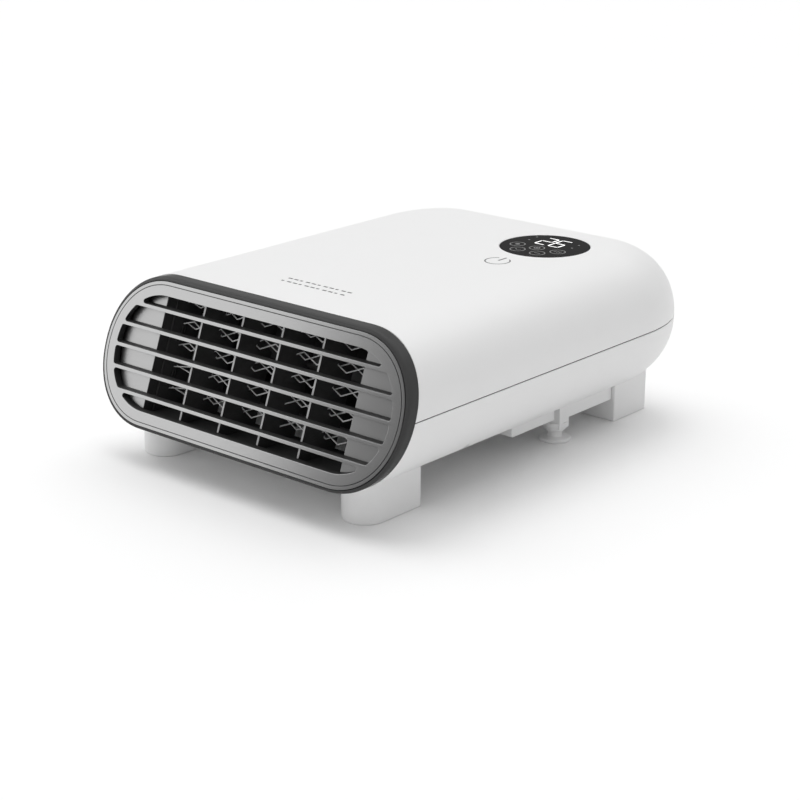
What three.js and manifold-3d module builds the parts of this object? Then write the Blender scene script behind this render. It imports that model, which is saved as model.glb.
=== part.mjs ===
// Fan convector heater: flat stadium body, leaning outlet grille, cross-flow blower and tip-over switch.
// Millimetres, +Z up. X runs across the heater, the outlet faces -Y and the feet stand on Z = 0.
import * as THREE from 'three';
import { mergeVertices } from 'three/addons/utils/BufferGeometryUtils.js';
import Module from 'manifold-3d';

const wasm = await Module();
wasm.setup();

// ---------------------------------------------------------------- driving dimensions
const GAP = 0.3; // clearance between pieces that touch
const RUNNING_GAP = 0.1; // clearance between a shaft and its bearing
const FAR = 200; // beyond the heater on every side
const LEAN = THREE.MathUtils.degToRad(20.4); // how far the outlet leans back
const ROUNDNESS = 2.1; // exponent of the nearly circular rounding of the outlet and the sides

const MID = 68.5; // height of the casing's middle plane, where the two shells meet
const HALF_WIDTH = 127.5;
const HALF_HEIGHT = 45.5;
const REAR = 310; // rear end of the casing, measured from the middle of the outlet face
const WALL = 2.5;
const TOP = MID + HALF_HEIGHT;
const SIDE_ROUND = 45.5; // how far the casing's sides curve in
const REAR_ROUND = 32; // how far the rear edge curves in along Y
const CORNER_MID = [44, 67.5]; // rear corner across X and along Y at the middle plane
const CORNER_TOP = [24.6, 29.8]; // the same corner where it meets the flat top
const LEVELS = 9; // levels from the middle plane to the top
const CORNER_STEPS = 6;
const FRONT_REACH = 40; // how far the untrimmed casing form runs past the outlet

const FACE = [125.1, 46.1, 45, 46]; // half width, half height and corner of the silver face, in its plane
const BEZEL = [127.8, 48.7, 47.3, 48.3];
const BEZEL_WIDTH = 2.3; // width of the dark rim seen round the silver face
const BEZEL_NOSE = [[BEZEL_WIDTH, 0.15], [1.4, 0.45], [0.5, 1.2], [0, 2.6]]; // inset and depth
const SLOTS = [116.2, 37, 36.2, 36];
const FACE_THICK = 1;
const FRAME_START = FACE_THICK + GAP;
const FRAME_END = 5;
const BEZEL_LEDGE = 5.3;
const BEZEL_END = 8.8;
const SKIRT = { outer: 3.2, inner: 5.2, end: 16 }; // the bezel's collar inside the casing
const BAR_PITCH = 14;
const BAR_HEIGHT = 2.25;
const BARS = [-2, -1, 0, 1, 2];
const GROOVE = { inset: 2.1, width: 0.5, depth: 0.4 };

const HEATER_START = 5.6;
const HEATER_END = 40;
const WINDOW = [84.5, 41]; // half width and half height of the heater's opening
const PLATE = [122, 43.2, 41.6, 43];
const PLATE_THICK = 1.2;
const DUCT_WALL = 1.2;
const BOARD_THICK = 1.4;
const BOARD_PITCH = 33.8;
const BOARD_PLACES = [-2.47, -1.5, -0.5, 0.5, 1.5, 2.47]; // in board pitches
const END_BOARD_SETBACK = 8; // how far the two end boards start behind the others
const WIRE_ROWS = [2, 1, 0, -1, -2];
const WIRE_LIFT = 0.4;
const WIRE_SHIFTS = [-1, -1, -1, 5, 5]; // where each row's middle peak stands
const WIRE_STEP = 12; // from one peak to the next
const WIRE_PEAKS = 6; // peaks on either side of the middle one
const WIRE_SWING = 2.7;
const WIRE_SIZE = 0.9;
const WIRE_ENDS = 82;
const WIRE_END_RUN = 4; // straight run at each end of a row
const WIRE_FRONT = 22;
const WIRE_REAR = 24.6;
const PASSAGE_MARGIN = 1.5; // room round the wires where they pass the boards
const CUTOUT = { radius: 5, from: 35, to: 39, x: -9.5, rise: 12 };
const FUSE = { radius: 2, halfLength: 6, x: 28, y: 33, rise: 7 };
const HEATER_TERMINALS = { x0: 86.2, x1: 96, y0: 34, y1: 50, halfHeight: 8 };

const AXIS_Y = 105; // blower and motor axis
const IMPELLER_RADIUS = 30;
const IMPELLER_HALF = 84;
const BLADES = { count: 20, inner: 23, thick: 1, sweep: 0.28 };
const DISC_THICK = 2;
const MIDDLE_DISC_HOLE = 21;
const HUB = { radius: 7, length: 16 };
const STUB = { radius: 3, inside: 4, outside: 9 };
const SIDE_PLATE = 86.7;
const SIDE_PLATE_THICK = 1.5;
const SIDE_PLATE_CORNERS = [[50, 30], [139, 30], [148, 62], [139, 106], [60, 107]]; // Y and Z
const SIDE_HOLES = { left: 8, right: 7.3 };
const SCROLL = { start: 15, sweep: 105, clearance: 3.5, growth: 3.5, steps: 10, foot: [52, -37] };
const TONGUE = [[60, 38.5], [72, 35], [81, 30.5], [85, 28], [84, 25]]; // Y and height over the axis
const SCROLL_THICK = 1.4;
const SHAFT = { radius: 2.5, from: -118, insideHub: 14 };
const MOTOR_X = -104;
const STATOR = { thick: 16, front: 22, rear: 31, halfHeight: 22 };
const STATOR_WINDOW = { y0: 16.5, y1: 25, halfHeight: 16 };
const AIR_GAP = 0.4;
const COIL = { halfWidth: 13, y0: 17, y1: 38, halfHeight: 14 };
const ROTOR_RADIUS = 12.6;
const BRACKET = { thick: 2.5, front: 21, rear: 15, halfHeight: 6, hub: 8 };
const BEARING_RADIUS = 5;
const END_BEARING = { radius: 7, length: 5 };

const LENS = [45.8, 235.8];
const LENS_RADIUS = 30;
const LENS_THICK = 2.2;
const SEAT = { radius: 33, bore: 27.5, bottom: 99.4 };
const DISPLAY = { size: [26, 20, 4.8], forward: 10.5, z: 109 };
const CONTROL_BOARD = { radius: 27, thick: 1.6, z: 104.7 };
const BUZZER = { radius: 5.5, height: 4.6, offset: [-12, -8] };
const CONTROL_COVER = { thick: 1.6, z: 97.4 };

const BOARD_Z = 33; // underside of the power board
const BOARD = { width: 100, depth: 76, thick: 1.6, x: -12, y: 203 };
const RELAY = { size: [19, 15, 15.5], firstX: -36, pitch: 24, y: 222 };
const SUPPLY = { size: [34, 22, 18], x: 18, y: 186 };
const MAINS = { size: [30, 12, 14], x: -42, y: 180 };

const INTAKE = [66, 24]; // half width and half height of the intake opening
const INTAKE_DEPTH = 26; // how far the opening's tool reaches in from the rear
const LOUVRES = { columns: 4, rows: 3, margin: 4, rib: 3, halfHeight: 1.8, border: 3 };
const FILTER = { size: [126, 4, 42], y: 296 };
const CORD_PANEL = { left: -94, bottom: 37.5 }; // the part of the rear wall that carries the gland
const GLAND = {
  x: -80, z: 51, rearY: 307.6, bore: 4.5, sleeve: 7, flange: 9, inside: 8, overlap: 0.2, lip: 2,
};

const FOOT_X = 86.1;
const FRONT_FOOT = { halfWidth: 14.2, roundY: 12.6, rearY: 46.5 };
const REAR_FOOT = { halfWidth: 13.9, frontY: 245, rearY: 282.4 };
const FRONT_FOOT_CLEARANCE = 3; // height below the casing over which a front foot stays clear of the bezel

const SCREWS = [[110, 73.5], [58, 275]];
const HEAD_SEAT = [38, 31];
const SCREW_BOSS = 4.6;
const SCREW_CORE = 1.6;
const SCREW_TOP = 84;
const SCREW_HEAD = { radius: 3.2, face: 2.6, chamfer: 1.4, height: 2.2 };
const COUNTERBORE = 3.6;

const TIP = { x: 90, y: 192.5 }; // axis of the tip-over plunger
const TIP_TRAVEL = 4.5;
const GUIDE = { radius: 6.2, bore: 5.3, bottom: 6.8, top: 30 };
const GUIDE_BOWL = [[5.8, 0], [7.3, 1.4], [8, 3.6], [8, 6.2]]; // radius and height over the guide's bottom
const STEM_RADIUS = 4.9;
const PLUNGER_FOOT = [[9.5, 0], [10.3, 0.8], [10.3, 1.6], [9.7, 2.3], [STEM_RADIUS, 2.6]];
const COLLAR_RADIUS = 7.2;
const COLLAR_BOTTOM = GUIDE.top + TIP_TRAVEL + GAP;
const COLLAR_TOP = COLLAR_BOTTOM + 2;
const HOUSING = { outer: 9.8, inner: 8.2, roof: 48, wall: 1.6, skirt: 20 };
const PIN_TOP = 54.2;
const PIN_RADIUS = 1.6;
const PIN_CLEARANCE = 0.4;
const SPRING = { radius: 5.4, wire: 0.5, turns: 4 };
const FAIRING = { innerX: 66, edgeX: 94.5, sideX: 97.3, bottom: 16 };
const FRONT_RAIL = [141, 185.6]; // along Y
const REAR_RAIL = { startBehindTip: 4.5, bottom: 15.7 };
const CHEEK = { halfLength: 5, bottom: 9 };
const WEB = { left: 6, right: 4, length: 8 };
const LEVER = { pivotX: 75, tail: 0.5, endX: 92.5, halfWidth: 2, thick: 0.6, bottom: PIN_TOP + GAP };
const MICROSWITCH = { size: [20, 6.4, 10.5], x: 82 };

const CENTRE_Y = (REAR - FACE[1] * Math.sin(LEAN)) / 2;

// ---------------------------------------------------------------- materials
function finish(color, roughness, metalness = 0) {
  return new THREE.MeshStandardMaterial({ color, roughness, metalness });
}

const WHITE = finish(0xececec, 0.38);
const CHARCOAL = finish(0x3c3c3e, 0.2);
const SILVER = finish(0xb8b9bb, 0.35, 0.6);
const DARK = finish(0x232324, 0.5);
const GLASS_BLACK = finish(0x161617, 0.12);
const GREY_STEEL = finish(0xc4c5c6, 0.4, 0.4);
const MICA = finish(0x8c857a, 0.7);
const NICHROME = finish(0xa9a7a3, 0.35, 0.9);
const BLOWER = finish(0x4a4b4d, 0.5);
const STEEL = finish(0x8f9193, 0.35, 0.9);
const COPPER = finish(0xb4682f, 0.4, 0.8);
const CIRCUIT = finish(0x1f5a38, 0.45);
const RUBBER = finish(0x1b1b1b, 0.8);
const FOAM = finish(0x2c2d2e, 0.95);
const CERAMIC = finish(0xe9e4d8, 0.6);

// ---------------------------------------------------------------- solids
function solid(geometry) {
  const bare = geometry.clone();
  bare.deleteAttribute('normal');
  bare.deleteAttribute('uv');
  const merged = mergeVertices(bare, 1e-4);
  const mesh = new wasm.Mesh({
    numProp: 3,
    vertProperties: new Float32Array(merged.attributes.position.array),
    triVerts: new Uint32Array(merged.index.array),
  });
  return new wasm.Manifold(mesh);
}

function geometryOf(manifold) {
  const mesh = manifold.getMesh();
  const geometry = new THREE.BufferGeometry();
  geometry.setAttribute('position', new THREE.BufferAttribute(mesh.vertProperties, 3));
  geometry.setIndex(new THREE.BufferAttribute(mesh.triVerts, 1));
  geometry.computeVertexNormals();
  return geometry;
}

function join(...pieces) {
  return pieces.reduce((sum, piece) => sum.add(piece));
}

function cut(body, ...tools) {
  return tools.reduce((rest, tool) => rest.subtract(tool), body);
}

function block(x0, x1, y0, y1, z0, z1) {
  const geometry = new THREE.BoxGeometry(x1 - x0, y1 - y0, z1 - z0);
  geometry.translate((x0 + x1) / 2, (y0 + y1) / 2, (z0 + z1) / 2);
  return solid(geometry);
}

// a solid of revolution from (radius, height) points, standing on X, Y or Z
function turned(profile, direction, x, y, z, segments = 16) {
  const points = profile.map(([radius, height]) => new THREE.Vector2(radius, height));
  const geometry = new THREE.LatheGeometry(points, segments);
  if (direction === 'z') geometry.rotateX(Math.PI / 2);
  if (direction === 'x') geometry.rotateZ(-Math.PI / 2);
  geometry.translate(x, y, z);
  return solid(geometry);
}

function rod(radius, from, to, direction, x, y, z, segments = 16) {
  return turned([[0, from], [radius, from], [radius, to], [0, to]], direction, x, y, z, segments);
}

function tube(outer, inner, from, to, direction, x, y, z, segments = 16) {
  const profile = [[inner, from], [outer, from], [outer, to], [inner, to], [inner, from]];
  return turned(profile, direction, x, y, z, segments);
}

// an outline in Y and Z, extruded along X
function sideExtrusion(points, x0, x1, holes = []) {
  const shape = new THREE.Shape(points.map(([y, z]) => new THREE.Vector2(y, z)));
  shape.holes = holes;
  const settings = { depth: x1 - x0, bevelEnabled: false, curveSegments: 12 };
  const geometry = new THREE.ExtrudeGeometry(shape, settings);
  geometry.rotateX(Math.PI / 2);
  geometry.rotateZ(Math.PI / 2);
  geometry.translate(x0, 0, 0);
  return solid(geometry);
}

// a closed skin through rings of equal length, capped or joined end to end
function loft(rings, closedLoop = false) {
  const count = rings[0].length;
  const positions = rings.flat().flatMap((point) => [point.x, point.y, point.z]);
  const index = [];
  const last = closedLoop ? rings.length : rings.length - 1;
  for (let i = 0; i < last; i += 1) {
    const a = i * count;
    const b = ((i + 1) % rings.length) * count;
    for (let j = 0; j < count; j += 1) {
      const k = (j + 1) % count;
      index.push(a + j, a + k, b + k, a + j, b + k, b + j);
    }
  }
  if (!closedLoop) {
    const top = (rings.length - 1) * count;
    for (let j = 1; j < count - 1; j += 1) {
      index.push(0, j + 1, j);
      index.push(top, top + j, top + j + 1);
    }
  }
  const geometry = new THREE.BufferGeometry();
  geometry.setAttribute('position', new THREE.Float32BufferAttribute(positions, 3));
  geometry.setIndex(index);
  return geometry;
}

// the outline of a band of even width along a line of points
function band(path, width) {
  const points = path.map(([u, v]) => new THREE.Vector2(u, v));
  const left = [];
  const right = [];
  points.forEach((point, i) => {
    const before = points[Math.max(i - 1, 0)];
    const after = points[Math.min(i + 1, points.length - 1)];
    const into = point.clone().sub(before).normalize();
    const out = after.clone().sub(point).normalize();
    const along = into.clone().add(out).normalize();
    const reach = width / 2 / Math.max(along.dot(i === 0 ? out : into), 0.5);
    const sideways = new THREE.Vector2(-along.y, along.x).multiplyScalar(reach);
    left.push(point.clone().add(sideways));
    right.push(point.clone().sub(sideways));
  });
  return left.concat(right.reverse()).map((point) => [point.x, point.y]);
}

// ---------------------------------------------------------------- the leaning outlet's own coordinates
// u runs along X, v climbs the leaning plane and depth runs straight back along Y
function onFace(u, v, depth) {
  return new THREE.Vector3(u, depth + v * Math.sin(LEAN), MID + v * Math.cos(LEAN));
}

function outline([halfWidth, halfHeight, cornerWidth, cornerHeight], inset = 0, steps = 8) {
  const points = [];
  const quarters = [[1, 1], [-1, 1], [-1, -1], [1, -1]];
  quarters.forEach(([sideU, sideV], quarter) => {
    for (let i = 0; i <= steps; i += 1) {
      const part = quarter % 2 === 0 ? i / steps : 1 - i / steps;
      const angle = (part * Math.PI) / 2;
      const across = (cornerWidth - inset) * (Math.cos(angle) ** (2 / ROUNDNESS) - 1);
      const up = (cornerHeight - inset) * (Math.sin(angle) ** (2 / ROUNDNESS) - 1);
      points.push([sideU * (halfWidth - inset + across), sideV * (halfHeight - inset + up)]);
    }
  });
  return points;
}

function rectangle(halfWidth, halfHeight, centreU = 0, centreV = 0) {
  const left = centreU - halfWidth;
  const right = centreU + halfWidth;
  const low = centreV - halfHeight;
  const high = centreV + halfHeight;
  return [[left, low], [right, low], [right, high], [left, high]];
}

function leaned(points, start, end) {
  const shape = new THREE.Shape(points.map(([u, v]) => new THREE.Vector2(u, v)));
  const geometry = new THREE.ExtrudeGeometry(shape, { depth: end - start, bevelEnabled: false });
  const across = new THREE.Vector3(1, 0, 0);
  const up = new THREE.Vector3(0, Math.sin(LEAN), Math.cos(LEAN));
  const forwards = new THREE.Vector3(0, -1, 0);
  geometry.applyMatrix4(new THREE.Matrix4().makeBasis(across, up, forwards));
  geometry.translate(0, end, MID);
  return solid(geometry);
}

function leanedRing(size, profile) {
  const rings = profile.map(([inset, depth]) => outline(size, inset).map(([u, v]) => onFace(u, v, depth)));
  return solid(loft(rings.reverse(), true));
}

// ---------------------------------------------------------------- the casing's form
function levelRing(angle, inset) {
  const pull = 1 - Math.abs(Math.cos(angle)) ** (2 / ROUNDNESS);
  const rise = Math.sign(angle) * Math.abs(Math.sin(angle)) ** (2 / ROUNDNESS);
  const halfWidth = HALF_WIDTH - inset - (SIDE_ROUND - inset) * pull;
  const rear = REAR - inset - (REAR_ROUND - inset) * pull;
  const cornerX = THREE.MathUtils.lerp(CORNER_MID[0], CORNER_TOP[0], pull) - inset;
  const cornerY = THREE.MathUtils.lerp(CORNER_MID[1], CORNER_TOP[1], pull) - inset;
  const z = MID + (HALF_HEIGHT - inset) * rise;
  const side = [new THREE.Vector3(halfWidth, -FRONT_REACH, z)];
  for (let i = 0; i <= CORNER_STEPS; i += 1) {
    const turn = (i / CORNER_STEPS) * (Math.PI / 2);
    const x = halfWidth - cornerX * (1 - Math.cos(turn));
    const y = rear - cornerY * (1 - Math.sin(turn));
    side.push(new THREE.Vector3(x, y, z));
  }
  const mirrored = side.map((point) => new THREE.Vector3(-point.x, point.y, point.z)).reverse();
  return side.concat(mirrored);
}

function casingForm(inset) {
  const rings = [];
  for (let i = -LEVELS; i <= LEVELS; i += 1) {
    rings.push(levelRing((i / LEVELS) * (Math.PI / 2), inset));
  }
  return solid(loft(rings));
}

const outerForm = casingForm(0);
const cavity = casingForm(WALL);
const clearOfCasing = casingForm(WALL + GAP);
const aroundCasing = casingForm(-GAP);
const inFrontOfCasing = leaned(rectangle(FAR, FAR / 2), -FAR / 2, BEZEL_END + GAP);
const shell = cut(outerForm, cavity, inFrontOfCasing);

// ---------------------------------------------------------------- assembly helpers
const heater = new THREE.Group();
heater.position.set(0, -CENTRE_Y, 0);

function add(name, shape, material, position = [0, 0, 0]) {
  const geometry = shape.isBufferGeometry ? shape : geometryOf(shape);
  const mesh = new THREE.Mesh(geometry, material);
  mesh.name = name;
  mesh.position.set(...position);
  heater.add(mesh);
}

// a plain rectangular component standing on a level
function addBox(name, size, material, x, y, bottom) {
  add(name, new THREE.BoxGeometry(...size), material, [x, y, bottom + size[2] / 2]);
}

function screwPlaces() {
  return SCREWS.flatMap(([x, y], row) => [1, -1].map((side) => [side * x, y, HEAD_SEAT[row]]));
}

// ---------------------------------------------------------------- casings
function intakeOpening(inset) {
  const [halfWidth, halfHeight] = INTAKE;
  const low = MID - halfHeight + inset;
  const high = MID + halfHeight - inset;
  return block(-halfWidth + inset, halfWidth - inset, REAR - INTAKE_DEPTH, FAR * 2, low, high);
}

// the space of the cord panel, between the intake and the casing's corner
function cordPanelSpace(inset) {
  const { left, bottom } = CORD_PANEL;
  const right = -INTAKE[0] + GAP;
  return block(left + inset, right - inset, REAR - INTAKE_DEPTH, FAR * 2, bottom + inset, MID - inset / 2);
}

function cordPanel() {
  const glandHole = rod(GLAND.sleeve + GAP, REAR - INTAKE_DEPTH, FAR * 2, 'y', GLAND.x, 0, GLAND.z);
  return cut(cut(outerForm, cavity).intersect(cordPanelSpace(GAP)), glandHole);
}

function upperCasing() {
  const above = block(-FAR, FAR, -FAR, 2 * FAR, MID + GAP / 2, FAR);
  const [lensX, lensY] = LENS;
  const seat = rod(SEAT.radius, SEAT.bottom, TOP - WALL / 2, 'z', lensX, lensY, 0, 36);
  const bosses = screwPlaces().map(([x, y]) => rod(SCREW_BOSS, MID + GAP / 2, TOP, 'z', x, y, 0, 12));
  const bodyParts = join(shell, seat, ...bosses).intersect(outerForm).intersect(above);
  const pocket = rod(LENS_RADIUS + GAP, TOP - LENS_THICK - GAP, FAR, 'z', lensX, lensY, 0, 48);
  const bore = rod(SEAT.bore, SEAT.bottom - WALL, TOP, 'z', lensX, lensY, 0, 36);
  const holes = screwPlaces().map(([x, y]) => {
    return rod(SCREW_CORE + GAP, MID - 1, SCREW_TOP + 2, 'z', x, y, 0, 10);
  });
  return cut(bodyParts, pocket, bore, intakeOpening(0), ...holes);
}

function lowerCasing() {
  const below = block(-FAR, FAR, -FAR, 2 * FAR, -FAR, MID - GAP / 2);
  const bosses = screwPlaces().map(([x, y]) => rod(SCREW_BOSS, 0, MID - GAP / 2, 'z', x, y, 0, 12));
  const bodyParts = join(shell, ...bosses).intersect(outerForm).intersect(below);
  const holes = screwPlaces().flatMap(([x, y, seat]) => [
    rod(SCREW_CORE + GAP, 0, MID, 'z', x, y, 0, 10),
    rod(COUNTERBORE, 0, seat, 'z', x, y, 0, 12),
  ]);
  const guideHole = rod(GUIDE.radius + GAP, 0, MID / 2, 'z', TIP.x, TIP.y, 0);
  return cut(bodyParts, guideHole, cordPanelSpace(0), intakeOpening(0), ...holes);
}

function rearGrille() {
  const [halfWidth, halfHeight] = INTAKE;
  const { columns, rows, margin, rib, halfHeight: slotHalf, border } = LOUVRES;
  const panel = cut(outerForm, cavity).intersect(intakeOpening(GAP));
  const columnWidth = (2 * (halfWidth - margin)) / columns;
  const rowPitch = (2 * (halfHeight - border)) / (2 * rows + 1);
  const slots = [];
  for (let column = 0; column < columns; column += 1) {
    for (let row = -rows; row <= rows; row += 1) {
      const x0 = -halfWidth + margin + column * columnWidth + rib / 2;
      const x1 = x0 + columnWidth - rib;
      const z = MID + row * rowPitch;
      slots.push(block(x0, x1, REAR - INTAKE_DEPTH, FAR * 2, z - slotHalf, z + slotHalf));
    }
  }
  return cut(panel, ...slots);
}

add('upper_casing', upperCasing(), WHITE);
add('lower_casing', lowerCasing(), WHITE);
add('rear_grille', rearGrille(), WHITE);
add('cord_panel', cordPanel(), WHITE);
addBox('dust_filter', FILTER.size, FOAM, 0, FILTER.y, MID - FILTER.size[2] / 2);

// ---------------------------------------------------------------- outlet
function bezelRing() {
  return leanedRing(BEZEL, [
    ...BEZEL_NOSE, [0, BEZEL_END], [SKIRT.outer, BEZEL_END], [SKIRT.outer, SKIRT.end],
    [SKIRT.inner, SKIRT.end], [SKIRT.inner, BEZEL_LEDGE], [BEZEL_WIDTH, BEZEL_LEDGE],
  ]);
}

function slottedPlate(start, end) {
  const bars = BARS.map((bar) => {
    return leaned(rectangle(FACE[0], BAR_HEIGHT / 2, 0, bar * BAR_PITCH), start - 2, end + 2);
  });
  const openings = cut(leaned(outline(SLOTS), start - 1, end + 1), ...bars);
  return cut(leaned(outline(FACE), start, end), openings);
}

function grooveRing() {
  const { inset, width, depth } = GROOVE;
  return leanedRing(FACE, [[inset, -1], [inset, depth], [inset + width, depth], [inset + width, -1]]);
}

add('front_bezel', bezelRing(), CHARCOAL);
add('grille_face', cut(slottedPlate(0, FACE_THICK), grooveRing()), SILVER);
add('grille_frame', slottedPlate(FRAME_START, FRAME_END), DARK);

// ---------------------------------------------------------------- heater
function heaterFrame() {
  const [halfWidth, halfHeight] = WINDOW;
  const plate = leaned(outline(PLATE), HEATER_START, HEATER_START + PLATE_THICK);
  const ductOutline = rectangle(halfWidth + DUCT_WALL, halfHeight + DUCT_WALL);
  const duct = leaned(ductOutline, HEATER_START, HEATER_END);
  return cut(join(plate, duct), leaned(rectangle(halfWidth, halfHeight), 0, HEATER_END + WALL));
}

function wirePassages() {
  return WIRE_ROWS.map((row) => {
    const opening = rectangle(FACE[0], WIRE_SWING + PASSAGE_MARGIN, 0, row * BAR_PITCH + WIRE_LIFT);
    return leaned(opening, WIRE_FRONT - PASSAGE_MARGIN, WIRE_REAR + WIRE_SIZE + PASSAGE_MARGIN);
  });
}

function micaBoard(place) {
  const atEnd = Math.abs(place) === Math.max(...BOARD_PLACES);
  const start = HEATER_START + (atEnd ? END_BOARD_SETBACK : 0);
  const panel = rectangle(BOARD_THICK / 2, WINDOW[1] - GAP, place * BOARD_PITCH, 0);
  const passages = atEnd ? [] : wirePassages(); // the wires turn back before the end boards
  return cut(leaned(panel, start, HEATER_END - 2), ...passages);
}

// the middle line of a wire that zigzags along every row and turns back at the ends
function wirePath(swing) {
  const path = [];
  WIRE_ROWS.forEach((row, order) => {
    const v = row * BAR_PITCH + WIRE_LIFT;
    const line = [[-WIRE_ENDS, v]];
    for (let peak = -WIRE_PEAKS; peak <= WIRE_PEAKS; peak += 1) {
      const u = WIRE_SHIFTS[order] + peak * WIRE_STEP;
      const sign = peak % 2 === 0 ? 1 : -1;
      if (Math.abs(u) < WIRE_ENDS - WIRE_END_RUN) line.push([u, v + sign * swing]);
    }
    line.push([WIRE_ENDS, v]);
    path.push(...(order % 2 === 0 ? line : line.reverse()));
  });
  return path;
}

function heatingWire(swing, depth) {
  return leaned(band(wirePath(swing), WIRE_SIZE), depth, depth + WIRE_SIZE);
}

function thermalCutout() {
  return rod(CUTOUT.radius, CUTOUT.from, CUTOUT.to, 'y', CUTOUT.x, 0, MID + CUTOUT.rise);
}

function thermalFuse() {
  return rod(FUSE.radius, -FUSE.halfLength, FUSE.halfLength, 'x', FUSE.x, FUSE.y, MID + FUSE.rise, 10);
}

function heaterTerminals() {
  const { x0, x1, y0, y1, halfHeight } = HEATER_TERMINALS;
  return block(x0, x1, y0, y1, MID - halfHeight, MID + halfHeight);
}

add('heater_frame', heaterFrame(), GREY_STEEL);
BOARD_PLACES.forEach((place, i) => add(`mica_board_${i + 1}`, micaBoard(place), MICA));
add('heating_wire_front', heatingWire(WIRE_SWING, WIRE_FRONT), NICHROME);
add('heating_wire_rear', heatingWire(-WIRE_SWING, WIRE_REAR), NICHROME);
add('thermal_cutout', thermalCutout(), STEEL);
add('thermal_fuse', thermalFuse(), CERAMIC);
add('heater_terminals', heaterTerminals(), CERAMIC);

// ---------------------------------------------------------------- blower
function impellerBlade(turn) {
  const { inner, thick, sweep } = BLADES;
  const path = [[inner, 0], [IMPELLER_RADIUS - thick / 2, sweep]].map(([radius, lag]) => {
    return [AXIS_Y + radius * Math.cos(turn + lag), MID + radius * Math.sin(turn + lag)];
  });
  return sideExtrusion(band(path, thick), -IMPELLER_HALF, IMPELLER_HALF);
}

function impeller() {
  const bore = SHAFT.radius + GAP;
  const disc = (hole, x) => tube(IMPELLER_RADIUS, hole, x, x + DISC_THICK, 'x', 0, AXIS_Y, MID, 20);
  const pieces = [
    disc(bore, -IMPELLER_HALF),
    disc(MIDDLE_DISC_HOLE, -DISC_THICK / 2),
    disc(bore, IMPELLER_HALF - DISC_THICK),
    tube(HUB.radius, bore, -IMPELLER_HALF, -IMPELLER_HALF + HUB.length, 'x', 0, AXIS_Y, MID),
    rod(STUB.radius, IMPELLER_HALF - STUB.inside, IMPELLER_HALF + STUB.outside, 'x', 0, AXIS_Y, MID),
  ];
  for (let i = 0; i < BLADES.count; i += 1) {
    pieces.push(impellerBlade((i / BLADES.count) * 2 * Math.PI));
  }
  return join(...pieces);
}

function sidePlate(x0, holeRadius) {
  const hole = new THREE.Path();
  hole.absarc(AXIS_Y, MID, holeRadius, 0, 2 * Math.PI, true);
  return sideExtrusion(SIDE_PLATE_CORNERS, x0, x0 + SIDE_PLATE_THICK, [hole]);
}

function curvedWall(path) {
  return sideExtrusion(band(path, SCROLL_THICK), -SIDE_PLATE + GAP, SIDE_PLATE - GAP);
}

function scrollWall() {
  const path = [];
  for (let i = 0; i <= SCROLL.steps; i += 1) {
    const share = i / SCROLL.steps;
    const angle = THREE.MathUtils.degToRad(SCROLL.start - SCROLL.sweep * share);
    const radius = IMPELLER_RADIUS + SCROLL.clearance + SCROLL.growth * share;
    path.push([AXIS_Y + radius * Math.cos(angle), MID + radius * Math.sin(angle)]);
  }
  path.push([SCROLL.foot[0], MID + SCROLL.foot[1]]);
  return curvedWall(path);
}

function tongueWall() {
  return curvedWall(TONGUE.map(([y, height]) => [y, MID + height]));
}

const STATOR_HALF = STATOR.thick / 2;

// a block round the motor's axis, from front to rear along Y
function motorBlock(halfWidth, front, rear, halfHeight) {
  const left = MOTOR_X - halfWidth;
  const right = MOTOR_X + halfWidth;
  return block(left, right, AXIS_Y + front, AXIS_Y + rear, MID - halfHeight, MID + halfHeight);
}

function stator() {
  const core = motorBlock(STATOR_HALF, -STATOR.front, STATOR.rear, STATOR.halfHeight);
  const bore = rod(ROTOR_RADIUS + AIR_GAP, -STATOR.thick, STATOR.thick, 'x', MOTOR_X, AXIS_Y, MID, 24);
  const { y0, y1, halfHeight } = STATOR_WINDOW;
  return cut(core, bore, motorBlock(STATOR.thick, y0, y1, halfHeight));
}

function coil() {
  const winding = motorBlock(COIL.halfWidth, COIL.y0, COIL.y1, COIL.halfHeight);
  const leg = motorBlock(STATOR_HALF + GAP, STATOR_WINDOW.y1 - GAP, STATOR.rear + GAP, MID / 2);
  return cut(winding, leg);
}

function motorBracket(x0) {
  const { thick, front, rear, halfHeight, hub } = BRACKET;
  const bar = block(x0, x0 + thick, AXIS_Y - front, AXIS_Y + rear, MID - halfHeight, MID + halfHeight);
  const boss = rod(hub, x0, x0 + thick, 'x', 0, AXIS_Y, MID);
  const seat = rod(BEARING_RADIUS + GAP, x0 - thick, x0 + 2 * thick, 'x', 0, AXIS_Y, MID);
  return cut(join(bar, boss), seat);
}

function bearing(radius, bore, length) {
  return tube(radius, bore + RUNNING_GAP, 0, length, 'x', 0, 0, 0);
}

const OUTER_BRACKET = MOTOR_X - STATOR_HALF - GAP - BRACKET.thick;
const INNER_BRACKET = MOTOR_X + STATOR_HALF + GAP;
const shaft = rod(SHAFT.radius, SHAFT.from, -IMPELLER_HALF + SHAFT.insideHub, 'x', 0, 0, 0);
const rotor = tube(ROTOR_RADIUS, SHAFT.radius + GAP, -STATOR_HALF, STATOR_HALF, 'x', 0, 0, 0, 24);
const motorBearing = bearing(BEARING_RADIUS, SHAFT.radius, BRACKET.thick);
const endBearing = bearing(END_BEARING.radius, STUB.radius, END_BEARING.length);

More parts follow.
